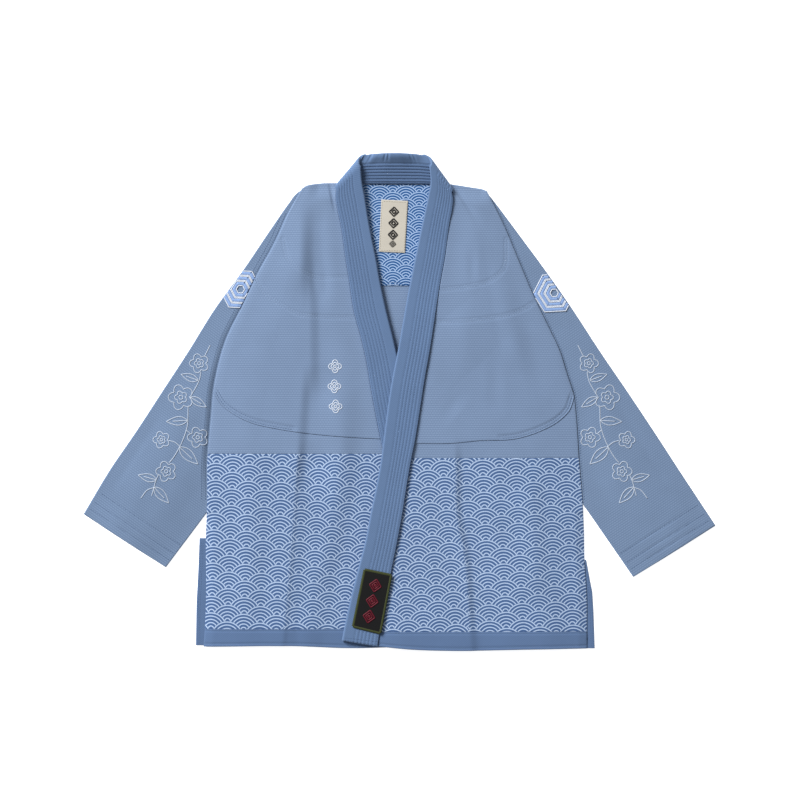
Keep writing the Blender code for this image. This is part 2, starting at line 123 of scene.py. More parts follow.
def spread(length, cell, startRound, endRound):
    # Shares of a length: close together inside each rounded rim, then even
    insets = np.array([0.0, 0.1, 0.35, 0.65, 1.0])
    start, end = insets * startRound, length - (insets * endRound)[::-1]
    cells = max(2, int(round((end[0] - start[-1]) / cell)))
    return np.concatenate([start[:-1], np.linspace(start[-1], end[0], cells + 1), end[1:]]) / length


def panelGrid(top, bottom, left, right, cell, rounds):
    # Plan points spanned by four edges: the two ruled surfaces less the bilinear one.
    # Also gives how full the cloth is there: a quarter round from 0 on the rim to 1 inside it.
    width = (lengthsAlong(top)[-1] + lengthsAlong(bottom)[-1]) / 2
    height = (lengthsAlong(left)[-1] + lengthsAlong(right)[-1]) / 2
    u, v = spread(width, cell[0], rounds[0], rounds[1]), spread(height, cell[1], rounds[2], rounds[3])
    t, b = pointsAt(top, u)[None], pointsAt(bottom, u)[None]
    l, r = pointsAt(left, v)[:, None], pointsAt(right, v)[:, None]
    uu, vv = u[None, :, None], v[:, None, None]
    corners = ((1 - uu) * (1 - vv) * t[0, 0] + uu * (1 - vv) * t[0, -1]
               + (1 - uu) * vv * b[0, 0] + uu * vv * b[0, -1])
    plan = (1 - vv) * t + vv * b + (1 - uu) * l + uu * r - corners
    inside = np.minimum(np.minimum(u * width / rounds[0], (1 - u) * width / rounds[1])[None],
                        np.minimum(v * height / rounds[2], (1 - v) * height / rounds[3])[:, None])
    full = np.sqrt(1 - (1 - np.clip(inside, 0, 1)) ** 2)
    return plan, full


# Mesh helpers

def closedRows(index):
    # A grid of vertex numbers whose rows each come back to their first one
    return np.concatenate([index, index[:, :1]], axis=1)


def cells(index):
    # Quads of a grid of vertex numbers
    return np.stack([index[:-1, :-1], index[1:, :-1], index[1:, 1:], index[:-1, 1:]], -1).reshape(-1, 4)


def newObject(name, data):
    made = bpy.data.objects.new(name, data)
    bpy.context.scene.collection.objects.link(made)
    return made


def makePiece(name, points, quads, uv, material, replaced=()):
    # Mesh from points and a plan of the cloth in millimetres, which rides on the jacket
    mesh = bpy.data.meshes.new(name)
    points, quads = np.asarray(points, np.float32) * mm, np.asarray(quads, np.int32)
    mesh.vertices.add(len(points))
    mesh.vertices.foreach_set("co", points.ravel())
    mesh.loops.add(quads.size)
    mesh.loops.foreach_set("vertex_index", quads.ravel())
    mesh.polygons.add(len(quads))
    mesh.polygons.foreach_set("loop_start", np.arange(0, quads.size, 4, dtype=np.int32))
    mesh.update(calc_edges=True)
    mesh.uv_layers.new(name="cloth")
    loopUv = np.asarray(uv, np.float32)[quads]
    if loopUv.shape[2] > 2:  # two plans that meet at a crease: each face takes the one on its own side
        second = loopUv[:, :, 4:5].mean(axis=1, keepdims=True) > 0.5
        loopUv = np.where(second, loopUv[:, :, 2:4], loopUv[:, :, :2])
    mesh.uv_layers["cloth"].data.foreach_set("uv", (loopUv * mm).ravel())
    mesh.shade_smooth()
    mesh.materials.append(material)
    piece = newObject(name, mesh)
    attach(piece, "root")
    if replaced:
        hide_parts(*replaced)
    return piece


def makeSheet(name, plan, low, high, full, uv, material, node):
    # Closed wall of cloth over a plan, with rounded rims
    rows, columns = plan.shape[:2]
    middle = (low + high) / 2
    upper = np.dstack([plan, middle + (high - middle) * full])
    lower = np.dstack([plan, middle - (middle - low) * full])[1:-1, 1:-1]
    top = np.arange(rows * columns).reshape(rows, columns)
    under, within = top.copy(), (rows - 2) * (columns - 2)
    under[1:-1, 1:-1] = rows * columns + np.arange(within).reshape(rows - 2, -1)
    points = np.concatenate([upper.reshape(-1, 3), lower.reshape(-1, 3)])
    uvs = np.concatenate([uv.reshape(rows * columns, -1), uv[1:-1, 1:-1].reshape(within, -1)])
    quads = np.concatenate([cells(top), cells(under)[:, ::-1]])
    makePiece(name, points, quads, uvs, material, (node,))


# Material helpers

def linear(hexColour):
    # sRGB hex to linear red, green and blue
    parts = [int(hexColour[i:i + 2], 16) / 255 for i in (0, 2, 4)]
    return (*(c / 12.92 if c <= 0.04045 else ((c + 0.055) / 1.055) ** 2.4 for c in parts), 1.0)


def addNode(tree, kind, values=None, **settings):
    # Adds a node, gives its inputs their values or links, and returns its first output
    node = tree.nodes.new(kind)
    for key, value in settings.items():
        setattr(node, key, value)
    for key, value in (values or {}).items():
        if isinstance(value, bpy.types.NodeSocket):
            tree.links.new(value, node.inputs[key])
        else:
            node.inputs[key].default_value = value
    return node.outputs[0]


finish = {"specular": 0.25, "sheenSpread": 0.6, "dyeScale": 22.0, "arcBlur": 0.015}


def newMaterial(name, roughness, sheen=0.0):
    material = bpy.data.materials.new(name)
    material.use_nodes = True
    tree = material.node_tree
    shader = tree.nodes["Principled BSDF"]
    for key, value in {"Roughness": roughness, "Specular IOR Level": finish["specular"],
                       "Sheen Weight": sheen, "Sheen Roughness": finish["sheenSpread"]}.items():
        shader.inputs[key].default_value = value
    return material, tree, shader


def inUnits(tree, place, wide, high):
    # The two coordinates of a place, counted in a width and a height that are given in millimetres
    split = addNode(tree, "ShaderNodeSeparateXYZ", {0: place}).node.outputs
    return [addNode(tree, "ShaderNodeMath", {0: split[axis], 1: mm * unit}, operation="DIVIDE")
            for axis, unit in enumerate((wide, high))]


def wovenRelief(tree, place, weave):
    # Brick-wise grains of a heavy weave: rows of rounded threads, every other row half a grain along
    along, up = inUnits(tree, place, weave["grain"], weave["row"])
    row = addNode(tree, "ShaderNodeMath", {0: up}, operation="FLOOR")
    odd = addNode(tree, "ShaderNodeMath", {0: row, 1: 2.0}, operation="FLOORED_MODULO")
    moved = addNode(tree, "ShaderNodeMath", {0: odd, 1: 0.5, 2: along}, operation="MULTIPLY_ADD")
    grain = addNode(tree, "ShaderNodeMath", {0: moved, 1: 0.5}, operation="PINGPONG")
    thread = addNode(tree, "ShaderNodeMath", {0: up, 1: 0.5}, operation="PINGPONG")
    grainPart = addNode(tree, "ShaderNodeMath", {0: grain, 1: 2 * weave["grainShare"]}, operation="MULTIPLY")
    return addNode(tree, "ShaderNodeMath", {0: thread, 1: 2 * (1 - weave["grainShare"]), 2: grainPart},
                   operation="MULTIPLY_ADD")


def finishCloth(tree, shader, colour, relief, bump, mottle):
    # Uneven dye in soft patches over the weave's own light and dark, and the weave's relief as bump
    place = addNode(tree, "ShaderNodeTexCoord").node.outputs["Object"]
    patches = addNode(tree, "ShaderNodeTexNoise",
                      {"Vector": place, "Scale": finish["dyeScale"], "Detail": 4.0})
    value = addNode(tree, "ShaderNodeMapRange", {0: patches, 1: 0.3, 2: 0.7, 3: 1 - mottle, 4: 1 + mottle})
    dyed = addNode(tree, "ShaderNodeHueSaturation", {"Value": value, "Color": colour})
    tree.links.new(dyed, shader.inputs["Base Color"])
    strength, height = bump
    raised = addNode(tree, "ShaderNodeBump",
                     {"Height": relief, "Strength": strength, "Distance": height * mm})
    tree.links.new(raised, shader.inputs["Normal"])


def blended(tree, factor, dark, light):
    return addNode(tree, "ShaderNodeMix", {"Factor": factor, 6: dark, 7: light},
                   data_type="RGBA").node.outputs[2]


def weaveMaterial(name, weave):
    material, tree, shader = newMaterial(name, weave["roughness"], weave["sheen"])
    place = addNode(tree, "ShaderNodeUVMap", uv_map="cloth")
    if weave.get("turn"):
        turn = (0, 0, math.radians(weave["turn"]))
        place = addNode(tree, "ShaderNodeMapping", {"Vector": place, "Rotation": turn})
    relief = wovenRelief(tree, place, weave)
    colour = blended(tree, relief, linear(weave["gap"]), linear(weave["thread"]))
    finishCloth(tree, shader, colour, relief, weave["bump"], weave["mottle"])
    return material


def waveDistance(tree, place, radius):
    # Overlapping waves: circles in rows half a radius apart, every other row one radius along.
    # The lowest circle that covers a point lies in front, and its centre gives the distance.
    u, v = inUnits(tree, place, radius, radius)
    halves = addNode(tree, "ShaderNodeMath", {0: v, 1: 2.0}, operation="MULTIPLY")
    base = addNode(tree, "ShaderNodeMath", {0: halves}, operation="FLOOR")
    shown = None
    for step in (1, 0, -1):
        row = addNode(tree, "ShaderNodeMath", {0: base, 1: step}, operation="ADD")
        odd = addNode(tree, "ShaderNodeMath", {0: row, 1: 2.0}, operation="FLOORED_MODULO")
        fromOdd = addNode(tree, "ShaderNodeMath", {0: u, 1: odd}, operation="SUBTRACT")
        across = addNode(tree, "ShaderNodeMath", {0: fromOdd, 1: 1.0}, operation="PINGPONG")
        above = addNode(tree, "ShaderNodeMath", {0: row, 1: -0.5, 2: v}, operation="MULTIPLY_ADD")
        offset = addNode(tree, "ShaderNodeCombineXYZ", {0: across, 1: above})
        away = addNode(tree, "ShaderNodeVectorMath", {0: offset}, operation="LENGTH").node.outputs[1]
        if shown is None:
            shown = away
            continue
        covers = addNode(tree, "ShaderNodeMath", {0: away, 1: 1.0}, operation="LESS_THAN")
        shown = addNode(tree, "ShaderNodeMix", {0: covers, 2: shown, 3: away}, data_type="FLOAT")
    return shown


def printMaterial(name, weave):
    # Printed cotton: pale arcs on a blue ground, over a fine plain weave
    material, tree, shader = newMaterial(name, weave["roughness"], weave["sheen"])
    place = addNode(tree, "ShaderNodeUVMap", uv_map="cloth")
    away = waveDistance(tree, place, weave["radius"])
    ramp = tree.nodes.new("ShaderNodeValToRGB")
    tree.links.new(away, ramp.inputs[0])
    ramp.color_ramp.elements.remove(ramp.color_ramp.elements[1])
    ramp.color_ramp.elements[0].color = (0, 0, 0, 1)
    half, blur = weave["line"] / weave["radius"] / 2, finish["arcBlur"]
    for middle in weave["arcs"]:
        for offset, level in ((-half - blur, 0.0), (-half, 1.0), (half, 1.0), (half + blur, 0.0)):
            if middle + offset <= 1.0:
                ramp.color_ramp.elements.new(middle + offset).color = (level, level, level, 1)
    relief = wovenRelief(tree, place, weave)
    ground = blended(tree, relief, linear(weave["gap"]), linear(weave["thread"]))
    colour = blended(tree, ramp.outputs[0], ground, linear(weave["ink"]))
    finishCloth(tree, shader, colour, relief, weave["bump"], weave["mottle"])
    return material


# Materials. Rows, grains, radii and lines are in millimetres. The real weave's pitch of about 2 mm is
# drawn nearly twice as coarse so that it shows at this distance. A bump is its strength and height.
pearlWeave = {"row": 3.65, "grain": 4.4, "grainShare": 0.35, "thread": "7d92b0", "gap": "5d7190",
              "roughness": 0.92, "sheen": 0.1, "mottle": 0.03, "bump": (0.22, 0.4)}
twill = {"row": 2.4, "grain": 40.0, "grainShare": 0.0, "thread": "5e7699", "gap": "4f688c", "turn": 38,
         "roughness": 0.88, "sheen": 0.1, "mottle": 0.03, "bump": (0.2, 0.3)}
skirtPrint = {"radius": 27.0, "line": 1.4, "arcs": (0.17, 0.37, 0.565, 0.765, 0.95), "ink": "a6bad6",
              "row": 2.0, "grain": 2.0, "grainShare": 0.5, "thread": "43608c", "gap": "385481",
              "roughness": 0.85, "sheen": 0.1, "mottle": 0.03, "bump": (0.15, 0.2)}
yokePrint = dict(skirtPrint, radius=21.7, line=1.25, ink="9bb4d6", thread="1f568f", gap="17477c")
labelWeave = {"row": 1.8, "grain": 1.8, "grainShare": 0.5, "thread": "c8c3b8", "gap": "aca69a",
              "roughness": 0.9, "sheen": 0.0, "mottle": 0.04, "bump": (0.3, 0.2)}
patchWeave = {"row": 2.0, "grain": 2.4, "grainShare": 0.5, "thread": "0c0c0e", "gap": "070708",
              "roughness": 0.8, "sheen": 0.0, "mottle": 0.05, "bump": (0.4, 0.3)}

pearlCotton = weaveMaterial("pearl weave cotton", pearlWeave)  # matt, with fine level rows of grains
shadedSleevePearl = weaveMaterial("pearl weave cotton, painted shade",  # painted shade: a shade darker, standing in for the dimmer light on the sleeves
                            dict(pearlWeave, thread="768ba8", gap="586c8a"))
cottonTwill = weaveMaterial("cotton twill", twill)  # darker and smoother than the pearl weave
hemTwill = weaveMaterial("cotton hem twill", dict(twill, thread="587093", gap="4a6288"))  # a shade darker
neckShadeTwill = weaveMaterial("cotton twill with painted neck shade",  # painted shade: darker, standing in for the shade inside the neck between the lapels
                          dict(twill, thread="506788", gap="435a7d"))
wavePrint = printMaterial("wave printed cotton", skirtPrint)  # crisp pale arcs on mid blue
yokeLining = printMaterial("wave printed lining", yokePrint)  # brighter, in smaller waves
labelCloth = weaveMaterial("natural label cotton", labelWeave)  # warm off-white with a dry grain
patchCloth = weaveMaterial("black woven patch", patchWeave)  # nearly black, with a ribbed surface
print("materials made")


# Body: the two fronts

fronts = {
    "right": {
        "facing": -1,
        "edge": ((-161, 350), (-184, 309), (-203, 267), (-235, 208), (-260, 155), (-287, 99),
                 (-299, 58), (-307, 15), (-310, -21), (-314, -63), (-316, -87), (-317, -168),
                 (-319, -210), (-319, -328), (-321, -376), (-323, -405)),
        "ends": (15, -87, -376, -405),  # heights on that edge where chest, waist, skirt and hem end
        "shoulder": ((-161, 350), (-154, 354.5), (-141, 357.5), (-128, 359), (-101, 359.5)),
        "chestSeam": ((-307, 15), (-293, -7), (-275, -21), (-245, -36), (-203, -46),
                      (-151, -54), (-98, -59), (-31, -63)),
        "hemLine": ((-323, -405), (-164, -404), (-98, -407), (40, -404)),
    },
    "left": {
        "facing": 1,
        "edge": ((144, 346), (173, 288), (197, 231), (222, 172), (249, 116), (264, 84), (276, 46),
                 (288, 7), (291, -21), (294, -61), (296, -94), (302, -168), (304, -210), (305, -262),
                 (309, -328), (309, -380), (309, -408)),
        "ends": (7, -94, -380, -408),
        "shoulder": ((80, 358), (97, 355.6), (110, 353.6), (123, 351.5), (136, 349.4), (144, 346)),
        "chestSeam": ((25, -70), (85, -70), (127, -66), (199, -61), (232, -50), (263, -33),
                      (280, -16), (288, 7)),
        "hemLine": ((-36, -404), (20, -409), (83, -411), (215, -409), (309, -408)),
    },
}

# Lapel band. Columns: sewn edge x and y, free edge x and y, underside z.
underLapel = (
    (-103, 360, -64, 408, 6.4), (-104, 348, -63, 388, 6.3), (-105, 333, -62, 365, 5.7),
    (-102, 314, -57, 337, 4.9), (-97, 292, -52, 305, 4.2), (-93, 266, -46, 272, 3.7),
    (-89, 236, -39, 238, 3.5), (-82, 193, -31, 193, 3.4), (-75, 147, -21, 147, 3.4),
    (-64, 107, -11, 107, 3.4), (-55, 68, -2, 68, 3.4), (-47, 21, 7, 21, 3.4),
    (-38, -28, 17, -28, 3.4), (-31, -63, 26, -63, 3.4), (-26, -87, 32, -87, 3.4),
    (-16, -130, 42, -130, 3.4), (-5, -180, 52, -180, 3.4), (4, -229, 61, -229, 3.4),
    (14, -276, 72, -276, 3.4), (25, -328, 83, -328, 3.4), (35, -376, 94, -376, 3.4),
    (40, -404, 98, -396, 3.4),
)
overLapel = (
    (83, 358, 45, 406, 6.4), (87, 348, 49, 386, 6.3), (88, 335, 51, 365, 5.7),
    (87, 317, 47, 338, 4.9), (83, 295, 41, 309, 4.2), (79, 266, 33, 272, 3.7),
    (75, 236, 26, 238, 3.7), (68, 198, 18, 198, 4.6), (63, 167, 12, 167, 6.2),
    (57, 127, 5, 127, 8.4), (50, 82, -3, 82, 9.9), (41, 31, -13, 31, 9.9),
    (34, -15, -20, -15, 9.9), (25, -70, -27, -70, 9.9), (20, -94, -30, -94, 9.9),
    (13, -134, -37, -134, 9.9), (5, -185, -47, -182, 9.9), (-3, -229, -56, -229, 9.7),
    (-12, -274, -67, -272, 8.6), (-21, -328, -81, -327, 7.2), (-32, -380, -92, -378, 6.2),
    (-36, -404, -95, -394, 6.0),
)

cloth = {
    "cellChest": (2.0, 1.8), "cellWaist": (2.6, 2.6), "cellSkirt": (2.2, 2.6), "cellHem": (2.4, 1.3),
    "fine": 3.0, "coarse": 7.0,
    "backWall": 1.5, "frontWall": 1.4, "chestWall": 2.4, "hemWall": 2.2, "yokeWall": 1.0,
    "labelWall": 1.0, "seamGap": 0.3, "sewnGap": 0.1, "clear": 0.15,
    "frontLevel": 3.4, "loft": 3.4, "softRest": 1.6, "sleeveFlat": 2.9,
    "seamRound": 1.3, "sideRound": 6.0, "shoulderRound": 4.0, "lapelRound": 0.5,
    "sleeveFoot": -184, "sleeveEdge": ((-184, -90, 345), (317, 247, 157)),  # y, and |x| of its hidden end
    "sideFall": 16, "meetBeside": (132, 152), "meetBelow": (0, 30),
    "seamRows": (13, 14, 20, 21),  # rows of the lapel tables where chest, waist, skirt and hem end
}

# How far from each edge the cloth of a front takes to rise: from its side, from its own lapel, and
# from the front that covers it or the lapel hidden under it
drape = {
    "right": {"side": (-12, 78), "lapel": (4, 70), "raised": (8, 60), "cover": (25, 70), "coverTop": 60},
    "left": {"side": (0, 80), "lapel": (6, 60), "raised": (10, 140), "hidden": (30, 170),
             "crease": (12, 36), "climb": 9.9, "climbAfter": (26, 210), "climbBefore": (26, 90)},
}

# Soft folds of the fronts. Columns: start x and y, end x and y, width to the right and to the left
# of the line seen from its start, height.
bodyFolds = (
    (-131, 340, -130, 160, 34, 28, -5.6),
    (-131, 236, -129, 0, 19, 64, -3.0),
    (-142, 50, -156, -150, 18, 56, -3.2),
    (-164, 340, -168, 190, 64, 26, 3.0),
    (-112, 356, -108, 318, 7, 9, -3.0),
    (-124, 330, -124, 300, 9, 9, -1.6),
    (-245, -95, -250, -360, 34, 34, 1.0),
    (-60, -120, -96, -300, 22, 22, -1.0),
    (90, 350, 130, 304, 11, 11, -3.0),
    (118, 250, 120, 196, 13, 13, -1.6),
    (48, -46, 96, 8, 22, 26, -8.0),
    (160, 300, 196, 60, 30, 30, 2.0),
    (156, 80, 158, -20, 18, 20, -0.7),
    (215, 120, 236, 10, 26, 26, -1.0),
    (215, -110, 222, -330, 30, 30, 1.4),
    (172, -100, 180, -340, 28, 28, -0.8),
)

# Sharp creases down the skirt: a ridge, then a quick drop to its right and a slow rise
creases = {"right": smoothLine(((-163, -60), (-168, -90), (-176, -196), (-184, -300), (-193, -396)), 80),
           "left": smoothLine(((88, -60), (91, -97), (94, -196), (104, -245), (112, -340), (113, -396)), 80)}
crease = {"right": {"ridge": 1.0, "drop": 1.6, "steep": 9.0, "low": 26.0, "before": 40.0, "after": 90.0},
          "left": {"ridge": 0.7, "drop": 2.2, "steep": 8.0, "low": 14.0, "before": 40.0, "after": 90.0},
          "starts": (55, 110)}

# Curved double rows that hold the inner reinforcement, seen as pressed lines on the chest
pressedCurves = {
    "right": (((-192, 267), (-184, 236), (-144, 206), (-87, 204)),
              ((-238, 204), (-220, 176), (-194, 158), (-169, 144), (-130, 139), (-70, 137))),
    "left": (((176, 267), (169, 214), (148, 198), (110, 188), (70, 183)),
             ((222, 163), (207, 153), (169, 140), (120, 133), (60, 130))),
}
# Short tucks beside the collar, pressed into the upper faces, with the columns of the body's folds
tucks = {"right": ((-115, 358, -107, 318, 5, 8, -4.0),),
         "left": ((88, 354, 114, 318, 5, 9, -3.4), (112, 322, 126, 296, 8, 12, -1.6))}
pressed = {"apart": 4.4, "depths": (0.45, 0.45, 0.9), "width": 1.5, "aboveSeam": 5.6, "alongSeam": 0.52,
           "hemDepth": 0.7, "hemWidth": 1.3, "hemRows": (2.6, 5.0), "hemStitches": (3.0, 5.0)}

for side, front in fronts.items():
    front["lapelRows"] = underLapel if side == "right" else overLapel
    front["edgeLine"] = smoothLine(front["edge"], 400)
    front["lapelLine"] = smoothLine(front["lapelRows"], 500)
    front["sewnLine"] = front["lapelLine"][:, :2]
    front["freeLine"] = front["lapelLine"][:, 2:4]
    front["curves"] = [smoothLine(curve, 120) for curve in pressedCurves[side]]
    seam = smoothLine(front["chestSeam"], 240)[::-front["facing"]]
    seam = seam[:int(len(seam) * pressed["alongSeam"])]
    front["curves"].append(offsetLine(seam, -front["facing"] * pressed["aboveSeam"]))
rightFront, leftFront = fronts["right"], fronts["left"]


def creaseHeights(side, x, y):
    form = crease[side]
    past = x - edgeX(creases[side], y)
    fade = ease(-y, *crease["starts"])
    ridge = np.where(past < 0, 1 - ease(-past, 0, form["before"]), 1 - ease(past, 0, form["steep"]))
    drop = ease(past, 0, form["low"]) * (1 - ease(past, form["low"], form["after"]))
    return fade * (form["ridge"] * ridge - form["drop"] * drop)


def lapelUnderside(front, y):
    return np.interp(-y, -front["sewnLine"][:, 1], front["lapelLine"][:, 4])


def sideDrop(fromSide, y):
    # The side edge comes down to the sleeve under it, and below the sleeve to the back
    below = np.where(y > cloth["sleeveFoot"], cloth["sleeveFlat"], cloth["backWall"])
    level = below + cloth["clear"] - cloth["frontLevel"]
    return level * (1 - ease(fromSide, 0, cloth["sideFall"]))


def liesOn(x, y):
    # Top of what is under a front: the back, or farther out the flat end of a sleeve
    onBack = (np.abs(x) < np.interp(y, *cloth["sleeveEdge"]) - 4) | (y < cloth["sleeveFoot"] - 6)
    return np.where(onBack, cloth["backWall"], cloth["sleeveFlat"])


def meetBack(low, x, y, shoulder):
    # At the shoulder, clear of the sleeve, the front comes down on the back
    line = np.array(sorted(shoulder), float)
    below = np.interp(x, line[:, 0], line[:, 1]) - y
    share = (1 - ease(np.abs(x), *cloth["meetBeside"])) * (1 - ease(below, *cloth["meetBelow"]))
    return low + share * (cloth["backWall"] + cloth["seamGap"] - low)


def frontLow(side, x, y):
    # Underside of a front: level on what it lies on, lofted between its edges, with its folds,
    # and following the lapel up at its sewn edge. The left one climbs over the hidden lapel.
    front, reach = fronts[side], drape[side]
    fromSide = front["facing"] * (edgeX(front["edgeLine"], y) - x)
    fromLapel = front["facing"] * (x - edgeX(front["sewnLine"], y))
    loft = ease(fromSide, *reach["side"]) * ease(fromLapel, *reach["lapel"])
    raised = (lapelUnderside(front, y) - cloth["frontLevel"]) * (1 - ease(fromLapel, *reach["raised"]))
    if side == "right":
        fromCover = edgeX(leftFront["freeLine"], y) - x
        loft = loft * np.where(y < reach["coverTop"], ease(fromCover, *reach["cover"]), 1.0)
        creased = loft
    else:
        pastHidden = x - edgeX(rightFront["freeLine"], y)
        beforeHidden = edgeX(rightFront["sewnLine"], y) - x
        over = (reach["climb"] - cloth["frontLevel"]) * (1 - ease(pastHidden, *reach["climbAfter"]))
        over = over * (1 - 0.5 * ease(beforeHidden, *reach["climbBefore"]))
        loft = loft * ease(pastHidden, *reach["hidden"])
        raised = np.maximum(over, raised)
        creased = ease(pastHidden, *reach["crease"])
    folds = loft * (cloth["loft"] + foldHeights(x, y, bodyFolds)) + creased * creaseHeights(side, x, y)
    low, rest = cloth["frontLevel"] + raised + folds, liesOn(x, y) + cloth["clear"]
    # Softened maximum of low and rest, which is exact where the cloth has no loft
    low = (low + rest + np.hypot(low - rest, cloth["softRest"] * loft)) / 2
    low = low + sideDrop(np.maximum(fromSide, 0), y)
    return meetBack(low, x, y, front["shoulder"])


def groove(away, width):
    # A rounded groove at a distance: e to the power of -(away / width)^2
    return np.exp(-(away / width) ** 2)


def pressedDepth(side, x, y):
    total = foldHeights(x, y, tucks[side])
    for curve, depth in zip(fronts[side]["curves"], pressed["depths"]):
        away = distanceTo(x, y, curve)
        total -= depth * groove(away - pressed["apart"] / 2, pressed["width"])
    return total


# Where the print lies on the parts of the skirt on either side of a crease. Columns: x and y of the
# middle of one wave, turn in degrees, and radius of the waves across and up the cloth.
printPlaces = {"right": ((-249.0, -158.0, -2.0, 27.0, 27.4), (-82.5, -165.6, -2.5, 26.1, 27.0)),
               "left": ((99.4, -135.1, 4.5, 26.1, 27.0), (193.0, -146.5, 2.5, 27.3, 26.5))}


def printPlan(side, x, y):
    plans = []
    for placeX, placeY, turn, across, up in printPlaces[side]:
        c, s = math.cos(math.radians(turn)), math.sin(math.radians(turn))
        u, v = c * (x - placeX) + s * (y - placeY), c * (y - placeY) - s * (x - placeX)
        plans.append(np.dstack([u / across, v / up]) * skirtPrint["radius"])
    return np.dstack([*plans, x > edgeX(creases[side], y)])


def hemPress(x, y, top, bottom):
    # Two stitched rows draw the hem in: one just under its seam and one above its turned edge
    fromTop = np.interp(x, top[:, 0], top[:, 1]) - y
    fromBottom = y - np.interp(x, bottom[:, 0], bottom[:, 1])
    return sum(pressed["hemDepth"] * groove(away - row, pressed["hemWidth"])
               for away, row in zip((fromTop, fromBottom), pressed["hemRows"]))


def buildFront(side):
    front = fronts[side]
    facing, edge, sewn = front["facing"], front["edgeLine"], front["sewnLine"].copy()
    sewn[:, 0] += facing * cloth["sewnGap"]
    heights = (edge[0, 1], *front["ends"])
    inner = [front["shoulder"][-1 if facing < 0 else 0][1],
             *(front["lapelRows"][row][1] for row in cloth["seamRows"])]
    seams = [smoothLine(front["shoulder"], 60), smoothLine(front["chestSeam"], 160)]
    for k in (2, 3):
        ends = [(float(edgeX(edge, heights[k])), heights[k]), (float(edgeX(sewn, inner[k])), inner[k])]
        seams.append(smoothLine(ends[::-facing], 60))
    seams.append(smoothLine(front["hemLine"], 120))
    looks = (("Chest", "chestWall", pearlCotton, "pearl_weave"),
             ("Waist", "frontWall", pearlCotton, "pearl_weave"),
             ("Skirt", "frontWall", wavePrint, "wave_print"), ("Hem", "hemWall", hemTwill, "plain_twill"))
    for k, (part, wall, material, slot) in enumerate(looks):
        top, bottom = seams[k], seams[k + 1]
        bySide = cutLine(edge, heights[k], heights[k + 1])
        byLapel = cutLine(sewn, inner[k], inner[k + 1])
        left, right = (bySide, byLapel) if facing < 0 else (byLapel, bySide)
        left[0], left[-1], right[0], right[-1] = top[0], bottom[0], top[-1], bottom[-1]
        rounds = (cloth["sideRound"] * (2 if k < 2 else 1), cloth["lapelRound"])[::-facing]
        rounds += (cloth["shoulderRound"] if k == 0 else cloth["seamRound"], cloth["seamRound"])
        plan, full = panelGrid(top, bottom, left, right, cloth[f"cell{part}"], rounds)
        x, y = plan[..., 0], plan[..., 1]
        low = frontLow(side, x, y)
        high = low + cloth[wall]
        if part == "Chest":
            high = high + pressedDepth(side, x, y)
        if part == "Hem":
            high = high - hemPress(x, y, top, bottom)
        uv = printPlan(side, x, y) if part == "Skirt" else plan
        node = f"front_{side}_{part.lower()}"
        makeSheet(f"{side}Front{part}", plan, low, high, full, uv, material, node)


# Sleeves: flattened tubes between their two folds

sleeves = {
    "right": {
        "outward": -1,
        "upper": ((-521, -186), (-478, -114), (-433, -48), (-390, 18), (-347, 84), (-306, 150),
                  (-258, 216), (-214, 281), (-182, 327), (-171, 341.5), (-158, 350.5)),
        "lower": ((-385, -274), (-247, -90)),
    },
    "left": {
        "outward": 1,
        "upper": ((521, -205), (461, -114), (418, -48), (374, 18), (329, 84), (286, 150),
                  (240, 216), (192, 281), (169, 312), (154.5, 331), (143.5, 344)),
        "lower": ((385, -290), (247, -90)),
    },
}
sleeve = {"flat": 2.9, "crown": 3.4, "wall": 1.3, "rings": 220, "topPoints": 110, "lowPoints": 36,
          "innerStep": 7, "quick": {"right": 0.7, "left": 0.0},  # share of the swell just beside the front
          "quickReach": (0.5, 9), "slowReach": (2, 64), "foldReach": (0, 70),
          "cuffRows": (13.0, 26.0, 44.0), "cuffDepth": 0.6, "cuffWidth": 1.4,
          "edgeRows": {"right": (3.0, 9.5), "left": (3.0,)}, "edgeSpan": (-165, 312),
          "margins": (1.2, 1.6)}  # least distance of a thread from the front's edge and from a fold

# Creases of the sleeves, with the columns of the body's folds
sleeveFolds = {
    "right": ((-395, -20, -478, -150, 9, 12, -1.2), (-250, -60, -375, -235, 20, 20, 0.5)),
    "left": ((340, 30, 450, -150, 12, 14, -1.0), (250, -60, 370, -240, 20, 20, 0.5)),
}
for side, part in sleeves.items():
    part["upperLine"] = smoothLine(part["upper"], 300)
    part["lowerLine"] = smoothLine(part["lower"], 80)
    toCuff = np.subtract(*part["lower"])
    part["axis"] = toCuff / np.linalg.norm(toCuff)


def cuffDistance(side, x, y):
    # Distance of a point from the cuff's edge, which runs between the ends of the two folds
    (x1, y1), (x2, y2) = sleeves[side]["upper"][0], sleeves[side]["lower"][0]
    return np.abs(((x2 - x1) * (y - y1) - (y2 - y1) * (x - x1)) / math.hypot(x2 - x1, y2 - y1))


def sleeveReach(side, x, y):
    # How far a point of a sleeve lies clear of the front's edge, and from the nearer fold
    part = sleeves[side]
    clear = part["outward"] * (x - edgeX(fronts[side]["edgeLine"], y))
    return clear, np.minimum(distanceTo(x, y, part["upperLine"]), distanceTo(x, y, part["lowerLine"]))


def sleeveTop(side, x, y):
    # Top of a sleeve: flat under the front, swelling clear of it and of both folds
    clear, fromFold = sleeveReach(side, x, y)
    quick = sleeve["quick"][side]
    swell = quick * ease(clear, *sleeve["quickReach"]) + (1 - quick) * ease(clear, *sleeve["slowReach"])
    swell = swell * ease(fromFold, *sleeve["foldReach"])
    toCuff = cuffDistance(side, x, y)
    rows = sum(sleeve["cuffDepth"] * groove(toCuff - row, sleeve["cuffWidth"]) for row in sleeve["cuffRows"])
    return sleeve["flat"] + swell * (sleeve["crown"] + foldHeights(x, y, sleeveFolds[side])) - rows * swell


